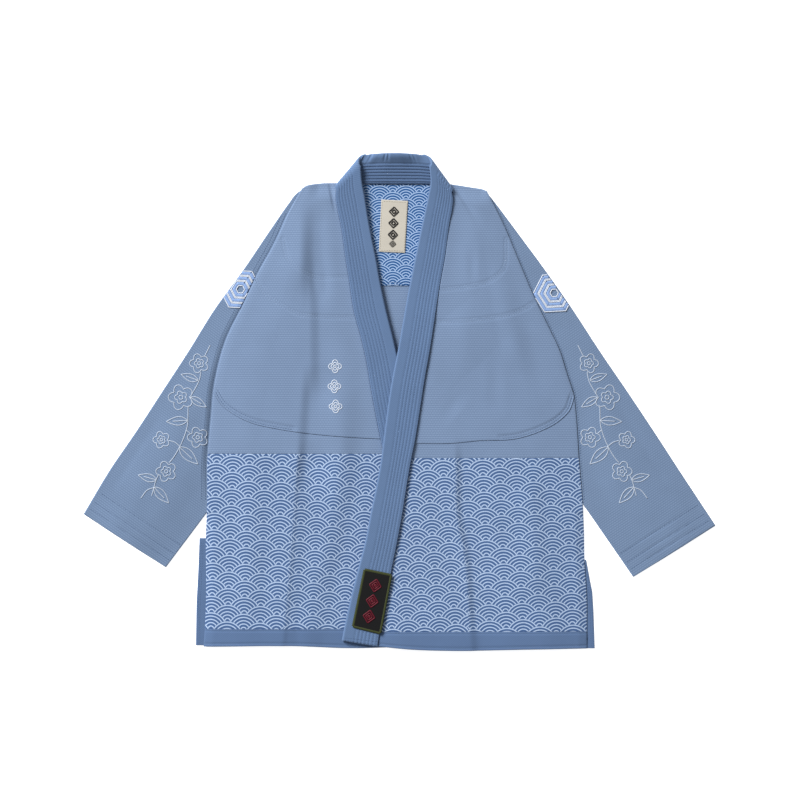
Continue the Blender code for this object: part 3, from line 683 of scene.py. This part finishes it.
def buildSleeve(side):
    # Rings round the tube, from the cuff to its hidden end outside and back inside: the flat
    # underside, a half round at the lower fold, the crowned top and a half round at the upper fold
    part = sleeves[side]
    bend = sleeve["flat"] / 2
    shares = np.linspace(0, 1, sleeve["rings"])
    starts, ends = pointsAt(part["upperLine"], shares), pointsAt(part["lowerLine"], shares)
    widths = np.linalg.norm(ends - starts, axis=1)[:, None]
    across = (ends - starts) / widths
    turn = np.radians([-60, -30, 0, 30, 60])
    lowS = bend + (widths - 2 * bend) * np.linspace(0, 1, sleeve["lowPoints"])
    topS = bend + (widths - 2 * bend) * np.linspace(1, 0, sleeve["topPoints"])
    planTop = starts[:, None] + topS[..., None] * across[:, None]
    crown = sleeveTop(side, planTop[..., 0], planTop[..., 1]) - sleeve["flat"]
    shells = []
    for wall in (0.0, sleeve["wall"]):
        radius = bend - wall
        far = widths - bend + radius * np.cos(turn)
        near = np.broadcast_to(bend - radius * np.cos(turn), far.shape)
        s = np.concatenate([lowS, far, topS, near], axis=1)
        rise = np.broadcast_to(radius * np.sin(turn), far.shape)
        top = sleeve["flat"] - wall + crown
        z = np.concatenate([np.full_like(lowS, wall), bend + rise, top, bend - rise], axis=1)
        plan = starts[:, None] + s[..., None] * across[:, None]
        shells.append(np.dstack([plan, z]))
    outer, inner = shells[0], shells[1][::sleeve["innerStep"]]
    if (sleeve["rings"] - 1) % sleeve["innerStep"]:
        inner = np.concatenate([inner, shells[1][-1:]])
    middles = [(outer[end] + inner[end]) / 2 + np.append(part["axis"] * push, 0)
               for end, push in ((0, 0.5), (-1, 0.0))]
    rings = np.concatenate([outer, middles[1][None], inner[::-1], middles[0][None]])
    count, sides = rings.shape[:2]
    index = np.arange(count * sides).reshape(count, sides)
    along, up = part["axis"]
    turned = rings[..., :2] @ np.array([[up, along], [-along, up]])
    quads = cells(closedRows(np.concatenate([index, index[:1]])))
    if part["outward"] > 0:
        quads = quads[:, ::-1]
    # The sleeves take the pearl weave darkened as painted shade
    piece = makePiece(f"{side}Sleeve", rings.reshape(-1, 3), quads, turned.reshape(-1, 2), shadedSleevePearl,
                      (f"sleeve_{side}",))


# Lapel: one band up the right front, round the back of the neck and down the left front

lapel = {"thick": 6.0, "lap": 0.4, "width": 54.0, "ribs": 6, "ribStart": 0.05, "ribEnd": 0.66,
         "ribDepth": 0.5, "neckRibDepth": 1.5, "ribSharpness": 2.2, "freeRound": 3.0, "sewnRound": 1.6,
         "frontRings": 260, "foldRings": 14, "backRings": 90, "foldReach": 7.0, "freeLift": 3.0,
         "neckLift": 3.0, "liftFade": (12, 50), "neckRoll": 5.0, "rollFade": (45, 76),
         "rollShare": (0.64, 0.92), "neckCentre": -10.0, "neckCreases": (-72, -33, -24, 36, 44),
         "creaseDepth": 1.5, "creaseWidth": 3.2, "hiddenBelow": -90}
backNeck = ((-74, 356.8, -46, 407.2), (-60, 357.6, -38, 407.3), (-46, 357.6, -30, 407.8),
            (-28, 357.6, -20, 408), (-10, 357.6, -10, 408), (8, 357.6, 0, 408), (26, 357.6, 10, 407.8),
            (40, 357.6, 19, 407.6), (54, 356.8, 28, 407))

# Where the band enters each neck fold from the front and leaves it for the back, and how it bulges
neckFolds = {
    "right": {"front": (-104, 346, -63.5, 386), "back": (-89, 356, -54, 406), "out": (-0.716, 0.698)},
    "left": {"front": (86, 343, 49, 386), "back": (66, 355.8, 37, 405.8), "out": (0.79, 0.61)},
}


def lapelSection():
    # Shares across the band, its half height and its channels: between stitched rows the cloth
    # stands up in a rounded rib, and each row lies in a narrow valley
    pitch = (lapel["ribEnd"] - lapel["ribStart"]) / lapel["ribs"]
    rim = np.array([0.0, 0.004, 0.014, 0.028])
    ribbed = lapel["ribStart"] + pitch * np.arange(0, lapel["ribs"] + 0.01, 1 / 8)
    plain = np.linspace(lapel["ribEnd"] + 0.03, 0.93, 9)
    share = np.concatenate([rim, ribbed, plain, 1 - np.array([0.05, 0.035, 0.02, 0.009, 0.002, 0.0])])
    fromSewn, fromFree = share * lapel["width"], (1 - share) * lapel["width"]
    inside = np.minimum(fromSewn / lapel["sewnRound"], fromFree / lapel["freeRound"])
    height = np.sqrt(1 - (1 - np.clip(inside, 0, 1)) ** 2)
    phase = (share - lapel["ribStart"]) / pitch
    fromRow = np.abs(phase - np.round(phase))
    valley = np.clip(1 - fromRow / 0.5, 0, 1) ** lapel["ribSharpness"]
    valley = np.where((phase < -0.2) | (phase > lapel["ribs"] + 0.5), 0.0, valley)
    return share, height, valley


def lapelRings():
    # Rings of (share, half height, valley) carried along the sewn and free edges. In a neck fold the
    # band's normal makes a half turn about a line along the fold.
    share, height, valley = lapelSection()
    share = np.concatenate([share, share[-2:0:-1]])
    height = np.concatenate([height, -height[-2:0:-1]])
    outer = np.concatenate([valley, np.zeros(len(valley) - 2)])
    inner = np.concatenate([np.zeros(len(valley)), valley[-2:0:-1]])
    half, radius = lapel["thick"] / 2, (lapel["thick"] + lapel["lap"]) / 2

    def ring(edges, middle, normal, outerShare, innerShare, roll=0.0):
        ribbed = outer * outerShare * lapel["ribDepth"] - inner * innerShare * lapel["neckRibDepth"]
        rise = middle[0] + share * (middle[1] - middle[0]) + roll * ease(share, *lapel["rollShare"])
        base = np.column_stack([edges[:2] + share[:, None] * (edges[2:4] - edges[:2]), rise])
        return base + (height * half - ribbed)[:, None] * normal

    def frontRings(side, table):
        # The free edge is lifted towards the fold, so that the band opens a little over the neck
        tall = half + 2 * radius
        rows = [(*neckFolds[side]["front"], tall - half, lapel["freeLift"]),
                *((*row, lapel["freeLift"] * lift) for row, lift in zip(table[2:], (0.8, 0.5, 0.25, 0.1)))]
        rows += [(*row, 0.0) for row in table[6:]]
        return [ring(row, (row[4] + half, row[4] + half + row[5]), up, 1.0, 0.0)
                for row in smoothLine(rows, lapel["frontRings"])]

    def foldRings(side):
        fold, made = neckFolds[side], []
        front, back, out = (np.array(fold[key], float) for key in ("front", "back", "out"))
        for angle in np.linspace(0, math.pi, lapel["foldRings"])[1:-1]:
            turned = (1 - math.cos(angle)) / 2
            edges = front + (back - front) * turned + np.tile(out, 2) * lapel["foldReach"] * math.sin(angle)
            rises = (radius, radius + lapel["freeLift"] / 2)
            middle = [half + rise + rise * math.cos(angle) for rise in rises]
            normal = np.array([*(out * math.sin(angle) / lapel["foldReach"]), math.cos(angle) / radius])
            made.append(ring(edges, middle, normal / np.linalg.norm(normal), 1 - turned, turned))
        return made

    def backRings():
        rows = [neckFolds["right"]["back"], *backNeck, neckFolds["left"]["back"]]
        made = []
        for row in smoothLine(rows, lapel["backRings"]):
            away = abs(row[0] - lapel["neckCentre"])
            fade = 1 - ease(away, *lapel["liftFade"])
            roll = lapel["neckRoll"] * (1 - ease(away, *lapel["rollFade"]))
            roll -= lapel["creaseDepth"] * sum(groove(row[0] - place, lapel["creaseWidth"])
                                               for place in lapel["neckCreases"])
            made.append(ring(row, (half, half + lapel["neckLift"] * fade), -up, 0.0, 1.0, roll))
        return made

    up = np.array([0.0, 0.0, 1.0])
    rings = frontRings("right", underLapel)[::-1] + foldRings("right") + backRings()
    rings += foldRings("left")[::-1] + frontRings("left", overLapel)
    return np.array(rings)


def buildLapel():
    rings = lapelRings()
    count, sides = rings.shape[:2]
    index = np.arange(count * sides).reshape(count, sides)
    top = sides // 2 + 1
    quads = [cells(closedRows(index))[:, ::-1]]
    for end, order in ((0, 1), (-1, -1)):
        upper, lower = index[end, :top], np.concatenate([index[end, :1], index[end, :top - 2:-1]])
        cap = np.stack([upper[:-1], lower[:-1], lower[1:], upper[1:]], -1)[1:-1]
        quads.append(cap[:, ::order])
    run = lengthsAlong(rings.mean(axis=1))
    share = lapelSection()[0]
    acrossShare = np.concatenate([share, share[-2:0:-1]])
    uv = np.dstack([np.broadcast_to(acrossShare * lapel["width"], (count, sides)),
                    np.broadcast_to(run[:, None], (count, sides))])
    piece = makePiece("lapelBand", rings.reshape(-1, 3), np.concatenate(quads), uv.reshape(-1, 2),
                      cottonTwill, ("lapel",))
    # The ribbed inside of the neck takes the twill darkened as painted shade
    piece.data.materials.append(neckShadeTwill)
    neckShadeFaces = np.zeros(len(piece.data.polygons), np.int32)
    first = lapel["frontRings"] + lapel["foldRings"] // 2
    last = count - first - 1
    neckShadeFaces[first * sides:last * sides] = np.tile(acrossShare < lapel["ribEnd"] + 0.02, last - first)
    piece.data.polygons.foreach_set("material_index", neckShadeFaces)
    return rings


# Back, yoke lining and vents

backRows = {
    "waist": ((-246.4, -90.1), (246.4, -90.1)),
    "neck": ((-150, 350), (-141, 357), (-128, 358), (-110, 357), (-99, 354), (-84, 356), (-70, 357.5),
             (54, 357.5), (66, 356), (79, 352), (97, 354.4), (110, 352.4), (123, 350), (133, 347)),
    "skirtRight": ((-246.4, -90.4), (-276.2, -130.0), (-306.2, -170.0), (-317, -184.4), (-317, -225.6),
                   (-311.6, -226.0), (-311.6, -380)),
    "skirtLeft": ((246.4, -90.4), (273.6, -130.0), (301.0, -170.0), (302.5, -184.4), (304.0, -226.0),
                  (305.0, -261.6), (300.0, -262.0), (300.0, -380)),
    "hemRight": ((-311.6, -380.3), (-311.6, -404)), "hemLeft": ((300, -380.3), (300, -404)),
    "yokeRight": ((-98, 354), (-83, 300), (-67, 245), (-52, 190)),
    "yokeLeft": ((78, 354), (66, 300), (53, 245), (40, 190)),
    "yokeTop": ((-98, 354), (-84, 355.8), (-70, 357.2), (54, 357.2), (66, 355.8), (78, 354)),
    "yokeStitches": ((-45, 36), (192.5, 195.5)),  # x of both ends, and y of the rows
    "ventRight": ((-330, -226), (-332, -279), (-335, -335), (-336, -403)), "ventRightInner": -311.9,
    "ventLeft": ((308, -262), (314, -295), (318, -315), (320, -348), (322, -408)), "ventLeftInner": 300.3,
    "ventStitches": (3.0, 6.0),
    "yokeWave": (10.5, 225.6),  # middle of one printed wave
    "label": ((-30, 332), (14, 330), (-34, 246), (9, 244)), "labelInset": 3.2,
}
yokeLevel = cloth["backWall"] + cloth["seamGap"]
labelLevel = yokeLevel + cloth["yokeWall"] + cloth["seamGap"]


def flatPiece(name, node, left, right, wall, cell, material, slot, level=0.0, restsOn="floor",
              top=None, uvFrom=(0.0, 0.0)):
    # A flat sheet between two side lines, straight between their ends unless its top is given
    left, right = np.asarray(left, float), np.asarray(right, float)
    top = np.array([left[0], right[0]]) if top is None else np.asarray(top, float)
    plan, full = panelGrid(top, np.array([left[-1], right[-1]]), left, right, (cloth[cell],) * 2,
                           (cloth["seamRound"],) * 4)
    low = np.full(plan.shape[:2], float(level))
    makeSheet(name, plan, low, low + cloth[wall], full, plan - uvFrom, material, node)


def buildBack():
    neck, waist = smoothLine(backRows["neck"], 80), backRows["waist"]
    flatPiece("backBody", "back_body", (neck[0], waist[0]), (neck[-1], waist[-1]), "backWall", "coarse",
              pearlCotton, "pearl_weave", top=neck)
    flatPiece("backSkirt", "back_skirt", backRows["skirtRight"], backRows["skirtLeft"], "backWall",
              "coarse", wavePrint, "wave_print")
    flatPiece("backHem", "back_hem", backRows["hemRight"], backRows["hemLeft"], "hemWall", "coarse",
              hemTwill, "plain_twill")
    for side, turn in (("Right", 1), ("Left", -1)):
        outer, innerX = backRows[f"vent{side}"], backRows[f"vent{side}Inner"]
        lines = (outer, ((innerX, outer[0][1]), (innerX, outer[-1][1])))[::turn]
        flatPiece(f"{side.lower()}VentFacing", f"vent_facing_{side.lower()}", *lines, "backWall", "fine",
                  hemTwill, "plain_twill")
    flatPiece("yokeLining", "yoke_lining", backRows["yokeRight"], backRows["yokeLeft"], "yokeWall", "fine",
              yokeLining, "yoke_print", yokeLevel, "backBody", backRows["yokeTop"], backRows["yokeWave"])
    a, b, c, d = backRows["label"]
    flatPiece("neckLabel", "neck_label", (a, c), (b, d), "labelWall", "fine", labelCloth, "label_cloth",
              labelLevel, "yokeLining")


# Patch near the end of the upper lapel

patch = {"corners": ((-57, -277), (-14, -286), (-76, -370), (-32, -381)), "wall": 1.2, "border": 4.6,
         "round": 1.0}


def patchFrame(corners):
    # Corners of a small piece: upper left and right, lower left and right. Then its middle, and the
    # directions across and down it.
    a, b, c, d = (np.array(corner, float) for corner in corners)
    return (a, b, c, d), (a + b + c + d) / 4, (b - a) / np.linalg.norm(b - a), (c - a) / np.linalg.norm(c - a)


def patchLow(y):
    return lapelUnderside(leftFront, y) + lapel["thick"] + 2 * cloth["seamGap"]


def buildPatch():
    a, b, c, d = patchFrame(patch["corners"])[0]
    plan, full = panelGrid(*(np.array(edge) for edge in ((a, b), (c, d), (a, c), (b, d))),
                           (cloth["fine"],) * 2, (patch["round"],) * 4)
    low = patchLow(plan[..., 1])
    makeSheet("lapelPatch", plan, low, low + patch["wall"], full, plan, patchCloth,
              "lapel_patch")


# Stitches: every seam's rows are short threads that lie in the cloth's pressed lines

stitch = {"length": 3.1, "gap": 1.1, "radius": 0.36, "ends": 0.35, "sunk": 0.1,
          "hemSunk": 0.5, "lapelLift": 0.12, "neckLift": 0.3, "endLift": 0.1}
threadParts = {}


def keepThread(look, points, quads, uv):
    threadParts.setdefault(look, []).append((points.reshape(-1, 3), quads, uv.reshape(-1, 2)))


def stitchRow(path, look):
    # Short four-sided rods laid end to end along a path, each thinner at both ends
    path = np.asarray(path, float)
    run, pitch = lengthsAlong(path), stitch["length"] + stitch["gap"]
    count = int(run[-1] // pitch)
    if count < 1:
        return
    starts = (run[-1] - count * pitch + stitch["gap"]) / 2 + pitch * np.arange(count)
    a, b = (np.column_stack([np.interp(at, run, column) for column in path.T])
            for at in (starts, starts + stitch["length"]))
    along = (b - a) / np.linalg.norm(b - a, axis=1)[:, None]
    side = np.column_stack([-along[:, 1], along[:, 0], np.zeros(count)])
    side /= np.linalg.norm(side, axis=1)[:, None]
    up = np.cross(along, side)
    corners = np.stack([side, up, -side, -up], axis=1)
    shares = np.array([-0.5, -0.3, 0.3, 0.5])
    radii = stitch["radius"] * np.array([stitch["ends"], 1.0, 1.0, stitch["ends"]])
    points = ((a + b) / 2)[:, None, None] + (shares[:, None] * (b - a)[:, None])[:, :, None]
    points = points + radii[:, None, None] * corners[:, None]
    ring = np.arange(4)
    after = (ring + 1) % 4
    walls = [np.stack([ring, after, 4 + after, 4 + ring], -1) + 4 * r for r in range(3)]
    quads = np.concatenate(walls + [[[3, 2, 1, 0], [12, 13, 14, 15]]])
    quads = (quads[None] + 16 * np.arange(count)[:, None, None]).reshape(-1, 4)
    uv = np.stack(np.broadcast_arrays(starts[:, None, None] + (shares * stitch["length"])[:, None],
                                      0.5 * ring[None, None]), -1)
    keepThread(look, points, quads, uv)


def frontPath(side, line, wall, chest=False):
    # A plan line laid on a front's upper face
    x, y = line[:, 0], line[:, 1]
    z = frontLow(side, x, y) + cloth[wall] - stitch["sunk"]
    if chest:
        z = z + 0.8 * pressedDepth(side, x, y)
    return np.column_stack([x, y, z])


def stitchFronts():
    for side, front in fronts.items():
        for curve, look in zip(front["curves"], ("pearlThread", "pearlThread", "seamThread")):
            for away in (-0.5, 0.5):
                line = offsetLine(curve, away * pressed["apart"])
                stitchRow(frontPath(side, line, "chestWall", chest=True), look)
        bottom = smoothLine(front["hemLine"], 200)
        top = bottom + [0, front["ends"][2] - front["ends"][3]]
        belowTop, aboveBottom = pressed["hemStitches"]
        for line in (top - [0, belowTop], bottom + [0, aboveBottom]):
            stitchRow(frontPath(side, line[6:-6], "hemWall") - [0, 0, stitch["hemSunk"]], "blueThread")


def stitchSleeves():
    # Three rows round each cuff, and one or two beside the front's edge
    for side, part in sleeves.items():
        ends, edge = np.array([part["upper"][0], part["lower"][0]], float), fronts[side]["edgeLine"]
        low, high = sleeve["edgeSpan"]
        edge = edge[(edge[:, 1] > low) & (edge[:, 1] < high)]
        lines = [pointsAt(ends - part["axis"] * row, np.linspace(0.02, 0.98, 120))
                 for row in sleeve["cuffRows"]]
        lines += [edge + [part["outward"] * away, 0] for away in sleeve["edgeRows"][side]]
        for line in lines:
            for path in sleevePaths(side, line):
                stitchRow(path, "seamThread")


def stitchLapel():
    # Down both fronts and round the back of the neck in the channels between ribs, and across the end
    count, folds = lapel["frontRings"], lapel["foldRings"] - 2
    sides = lapelShape.shape[1]
    stretches = ((0, count, 1), (count + folds, len(lapelShape) - count - folds, -1),
                 (len(lapelShape) - count, len(lapelShape), 1))
    for row in range(lapel["ribs"] + 1):
        for first, last, face in stretches:
            column = 4 + 8 * row
            path = lapelShape[first:last, column if face > 0 else sides - column]
            if first == 0:
                path = path[path[:, 1] > lapel["hiddenBelow"]]
            stitchRow(path + [0, 0, stitch["lapelLift" if face > 0 else "neckLift"]], "blueThread")
    for ring in (-2, -4):
        stitchRow(lapelShape[ring, 3:sides // 2 - 3] + [0, 0, stitch["endLift"]], "blueThread")


def stitchBack():
    for side, inward in (("Right", 1), ("Left", -1)):
        line = smoothLine(backRows[f"vent{side}"], 60)[2:-1]
        for away in backRows["ventStitches"]:
            path = np.column_stack([line + [inward * away, 0], np.full(len(line), cloth["backWall"])])
            stitchRow(path, "blueThread")
    top, (ends, rows) = yokeLevel + cloth["yokeWall"], backRows["yokeStitches"]
    for y in rows:
        stitchRow([(x, y, top) for x in ends], "yokeThread")
    corners, middle = patchFrame(backRows["label"])[:2]
    a, b, c, d = (middle + (corner - middle) * (1 - backRows["labelInset"] / np.linalg.norm(corner - middle))
                  for corner in corners)
    top = labelLevel + cloth["labelWall"]
    for start, end in ((a, b), (b, d), (d, c), (c, a)):
        stitchRow([(*start, top), (*end, top)], "labelThread")


# Embroidery: cords of thread in a generic flowering branch, hexagons and blossoms

def keptRuns(path, keep, least=3.0):
    # The stretches of a path whose points are all kept, without those too short to sew
    edges = np.flatnonzero(np.diff(np.concatenate([[0], keep.astype(int), [0]])))
    runs = [path[a:b] for a, b in zip(edges[::2], edges[1::2]) if b - a > 3]
    return [run for run in runs if lengthsAlong(run)[-1] > least]


def onSleeve(side, plan):
    # Which points of a plan line lie on what shows of a sleeve
    part, (x, y) = sleeves[side], plan.T
    clear, fromFold = sleeveReach(side, x, y)
    above = part["outward"] * (edgeX(part["upperLine"][::-1], y) - x) > 0
    return (clear > sleeve["margins"][0]) & (fromFold > sleeve["margins"][1]) & above


def sleevePaths(side, plan, lift=0.0):
    # The stretches of a plan line that show on a sleeve, laid on its top
    return keptRuns(np.column_stack([plan, sleeveTop(side, *plan.T) + lift]), onSleeve(side, plan))


def cordRun(path, width, look, strand=2.4):
    # A low six-sided cord along a path, whose back swells and sinks with its twisted strands
    run = lengthsAlong(path)
    count = max(4, int(run[-1] / strand * 3))
    path = pointsAt(path, np.linspace(0, 1, count))
    at = np.linspace(0, run[-1], count)
    along = np.gradient(path, axis=0)
    side = np.column_stack([-along[:, 1], along[:, 0]])
    side = side / np.linalg.norm(side, axis=1)[:, None]
    height = min(0.4 * width, 0.9) * (0.85 + 0.15 * np.cos(2 * np.pi * at / strand))
    section = np.array([(0.5, 0), (0.28, 1), (-0.28, 1), (-0.5, 0), (-0.28, -0.3), (0.28, -0.3)])
    plan = path[:, None, :2] + (section[:, 0] * width)[None, :, None] * side[:, None]
    points = np.dstack([plan, path[:, 2:3] + section[:, 1] * height[:, None]])
    index = closedRows(np.arange(count * 6).reshape(count, 6))
    caps = np.array([[3, 2, 1, 0], [5, 4, 3, 0], [0, 1, 2, 3], [0, 3, 4, 5]])
    caps[2:] += 6 * (count - 1)
    uv = np.stack(np.broadcast_arrays(at[:, None], 0.25 * width * np.arange(6)[None]), -1)
    keepThread(look, points, np.concatenate([cells(index)[:, ::-1], caps]), uv)


def rosette(x, y, radius, petals, depth):
    # Outline of rounded petals: distance from the middle = radius (1 - depth + depth |cos(petals a / 2)|)
    angle = np.radians(np.linspace(0, 360, 48 * petals + 1))
    reach = radius * (1 - depth + depth * np.abs(np.cos(petals * angle / 2)))
    return np.column_stack([x + reach * np.cos(angle), y + reach * np.sin(angle)])


def leaf(x1, y1, x2, y2):
    # Two bowed sides from a leaf's base to its tip, and a rib most of the way: bow = 0.2 sin(pi t^0.8)
    run = np.array([x2 - x1, y2 - y1], float)
    share = np.linspace(0, 1, 40)[:, None]
    line = [x1, y1] + run * share
    bow = 0.2 * np.sin(np.pi * share ** 0.8) * np.array([-run[1], run[0]])
    return [line + bow, line - bow, line[:28]]


def branchLines():
    # A flowering branch down the sleeve, with x outwards from the front's edge
    lines = [smoothLine(twig, 300) for twig in branch["twigs"]]
    for x, y, radius in branch["flowers"]:
        lines = [run for line in lines
                 for run in keptRuns(line, np.hypot(*(line - [x, y]).T) > 0.86 * radius)]
    for x, y, radius in branch["flowers"]:
        lines += [rosette(x, y, share * radius, petals, depth)
                  for share, petals, depth in ((1, 5, 0.34), (0.5, 5, 0.34), (0.16, 4, 0))]
    for ends in branch["leaves"]:
        lines += leaf(*ends)
    return lines


def hexagons(centre, radii, turn):
    angle = np.radians(turn + 60 * np.arange(7))
    return [centre + radius * np.column_stack([np.cos(angle), np.sin(angle)]) for radius in radii]


branch = {
    "twigs": (((2, 92), (14, 66), (20, 34), (36, 2), (40, -44), (60, -90), (88, -124), (98, -156)),
              ((41, -48), (36, -52), (30, -58)), ((50, -76), (60, -68), (76, -64)),
              ((92, -142), (104, -146), (116, -160))),
    "flowers": ((20, 62, 16), (50, 6, 21), (22, -60, 17), (82, -64, 14), (74, -116, 17)),
    "leaves": ((22, 34, 50, 44), (34, 6, 8, -10), (39, -32, 74, -34), (52, -76, 22, -104),
               (90, -130, 120, -122), (94, -142, 70, -168)),
}
embroidery = {"cord": 1.35, "lift": 0.1, "branches": {"right": -310, "left": 292},
              "marks": {"right": (-262, 184, 57), "left": (255, 178, 123)},  # centre and turn
              "rings": (("skyThread", (31, 21, 11), 6.4, 0.0),  # radii, width of the cord, and its lift
                        ("whiteThread", (35, 27, 25, 17, 15, 7), 1.7, 0.6)),
              "blossoms": ((-106, 57), (-107, 24), (-105, -9)), "petal": 10.5, "blossomCord": 1.4,
              "diamondCord": 2.4,
              # Diamonds: place down from the middle, half widths, and thread
              "patchMarks": tuple((step, (9.6, 5.6, 2.0), "redThread") for step in (-26, 0, 26)),
              "labelMarks": (*((step, (7.6, 3.4), "inkThread") for step in (-24, -5, 14)),
                             (29, (5.0, 2.0), "greyThread"))}


def dense(line, step=0.6):
    length = lengthsAlong(np.asarray(line, float))[-1]
    return pointsAt(line, np.linspace(0, 1, max(8, int(length / step))))


def sewOnSleeve(side, line, width, look, lift=0.0):
    for path in sleevePaths(side, dense(line), embroidery["lift"] + lift):
        cordRun(path, width, look)


def embroider():
    for side, x in embroidery["branches"].items():
        for line in branchLines():
            sewOnSleeve(side, line * [sleeves[side]["outward"], 1] + [x, 0], embroidery["cord"], "paleThread")
    for side, (x, y, turn) in embroidery["marks"].items():
        for look, radii, *sewn in embroidery["rings"]:
            for line in hexagons((x, y), radii, turn):
                sewOnSleeve(side, line, sewn[0], look, sewn[1])
    for x, y in embroidery["blossoms"]:
        for share, petals in ((1.0, 4), (0.62, 4), (0.24, 8)):
            plan = rosette(x, y, embroidery["petal"] * share, petals, 0.4)
            path = frontPath("right", dense(plan, 0.5), "chestWall") + [0, 0, embroidery["lift"]]
            cordRun(path, embroidery["blossomCord"], "whiteThread")


def sewDiamonds(corners, marks, tall, topAt):
    # Diamonds inside one another down the middle of a small piece, each tall times as high as wide
    middle, across, down = patchFrame(corners)[1:]
    for place, sizes, look in marks:
        for size in sizes:
            line = dense([middle + down * (place + size * v * tall) + across * size * u
                          for u, v in ((0, -1), (1, 0), (0, 1), (-1, 0), (0, -1))])
            cordRun(np.column_stack([line, topAt(line[:, 1])]), embroidery["diamondCord"], look)


def trimPatch():
    # Merrowed edge of the patch, stacked diamonds on it, and smaller ones on the label
    a, b, c, d = patchFrame(patch["corners"])[0]
    for start, end in ((a, b), (b, d), (d, c), (c, a)):
        line = dense((start, end))
        path = np.column_stack([line, patchLow(line[:, 1]) + patch["wall"] / 2])
        cordRun(path, patch["border"], "borderThread", strand=2.0)
    sewDiamonds(patch["corners"], embroidery["patchMarks"], 1.1, lambda y: patchLow(y) + patch["wall"])
    labelTop = labelLevel + cloth["labelWall"]
    sewDiamonds(backRows["label"], embroidery["labelMarks"], 1.0, lambda y: np.full(len(y), labelTop))


# Threads: cotton for seams, glossier rayon for embroidery. Colour, roughness, and the record's slot.
threadLooks = {"blueThread": ("5d769c", 0.8, "plain_twill"), "pearlThread": ("94a9c6", 0.8, "pearl_weave"),
               "seamThread": ("465b7c", 0.8, "pearl_weave"), "yokeThread": ("1f4173", 0.8, "yoke_print"),
               "labelThread": ("a89f8c", 0.8, "label_cloth"), "whiteThread": ("e2eaf6", 0.55, "label_cloth"),
               "paleThread": ("c2cede", 0.55, "label_cloth"), "skyThread": ("8fadde", 0.55, "pearl_weave"),
               "borderThread": ("3b4220", 0.6, "patch_cloth"), "redThread": ("641124", 0.55, "patch_cloth"),
               "inkThread": ("2b2928", 0.7, "label_cloth"), "greyThread": ("77736c", 0.7, "label_cloth")}


def buildThreads():
    for look, parts in threadParts.items():
        colour, roughness, slot = threadLooks[look]
        dark = "".join(f"{int(int(colour[i:i + 2], 16) * 0.82):02x}" for i in (0, 2, 4))
        material = weaveMaterial(f"{look} twisted", {
            "row": 1.1, "grain": 40.0, "grainShare": 0.0, "thread": colour, "gap": dark, "turn": 62,
            "roughness": roughness, "sheen": 0.0, "mottle": 0.02, "bump": (0.3, 0.2)})
        points, quads, uv = zip(*parts)
        firsts = np.cumsum([0] + [len(part) for part in points])
        quads = np.concatenate([part + first for part, first in zip(quads, firsts)])
        makePiece(look, np.concatenate(points), quads, np.concatenate(uv), material)
        print(look, len(quads) * 2, "triangles")


buildBack()
for side in sleeves:
    buildSleeve(side)
print("back and sleeves made")
for side in fronts:
    buildFront(side)
print("fronts made")
lapelShape = buildLapel()
buildPatch()
print("lapel and patch made")
stitchFronts()
stitchSleeves()
stitchLapel()
stitchBack()
embroider()
trimPatch()
buildThreads()
print("stitches and embroidery made")


# Floor, lights and camera

studio = {"floor": "f6f6f4", "glow": 0.75, "field": 1.32, "height": 3.0, "centre": (0.0008, 0.00165),
          "keyPower": 5.1, "keySpread": 24, "keyHeight": 31, "keyTurn": 135, "skyPower": 0.35,
          "softPower": 4.0, "softSize": 0.7, "softPlace": (-1.1, 0.7, 0.7), "softAim": (-0.3, 0.0, 0.0),
          "floorReach": 6, "floorLevel": -0.0005, "keyFar": 3}


def aimLight(light, place, aim):
    lamp = newObject(light.name, light)
    lamp.location = place
    lamp.rotation_euler = (lamp.location - type(lamp.location)(aim)).to_track_quat("Z", "Y").to_euler()


def buildStudio():
    material, tree, shader = newMaterial("matt studio paper", 0.95)  # even and shadow-soft
    shader.inputs["Base Color"].default_value = linear(studio["floor"])
    shader.inputs["Emission Color"].default_value = (1, 1, 1, 1)
    shader.inputs["Emission Strength"].default_value = studio["glow"]
    mesh = bpy.data.meshes.new("floor")
    far = studio["floorReach"]
    mesh.from_pydata([(-far, -far, 0), (far, -far, 0), (far, far, 0), (-far, far, 0)], [], [(0, 1, 2, 3)])
    mesh.materials.append(material)
    floor = newObject("floor", mesh)
    floor.location.z = studio["floorLevel"]
    light = bpy.data.lights.new("key", "SUN")
    light.energy, light.angle = studio["keyPower"], math.radians(studio["keySpread"])
    up, turn, far = math.radians(studio["keyHeight"]), math.radians(studio["keyTurn"]), studio["keyFar"]
    level = far * math.cos(up)
    aimLight(light, (level * math.cos(turn), level * math.sin(turn), far * math.sin(up)), (0, 0, 0))
    light = bpy.data.lights.new("softbox", "AREA")
    light.energy, light.size = studio["softPower"], studio["softSize"]
    aimLight(light, studio["softPlace"], studio["softAim"])
    world = bpy.data.worlds.new("studio")
    world.use_nodes = True
    sky = world.node_tree.nodes["Background"].inputs
    sky[0].default_value, sky[1].default_value = (1, 1, 1, 1), studio["skyPower"]
    bpy.context.scene.world = world
    camera = bpy.data.cameras.new("camera")
    camera.angle = 2 * math.atan(studio["field"] / 2 / studio["height"])
    holder = newObject("camera", camera)
    holder.location = (*studio["centre"], studio["height"])
    bpy.context.scene.camera = holder
    bpy.context.scene.view_settings.view_transform = "Standard"


buildStudio()
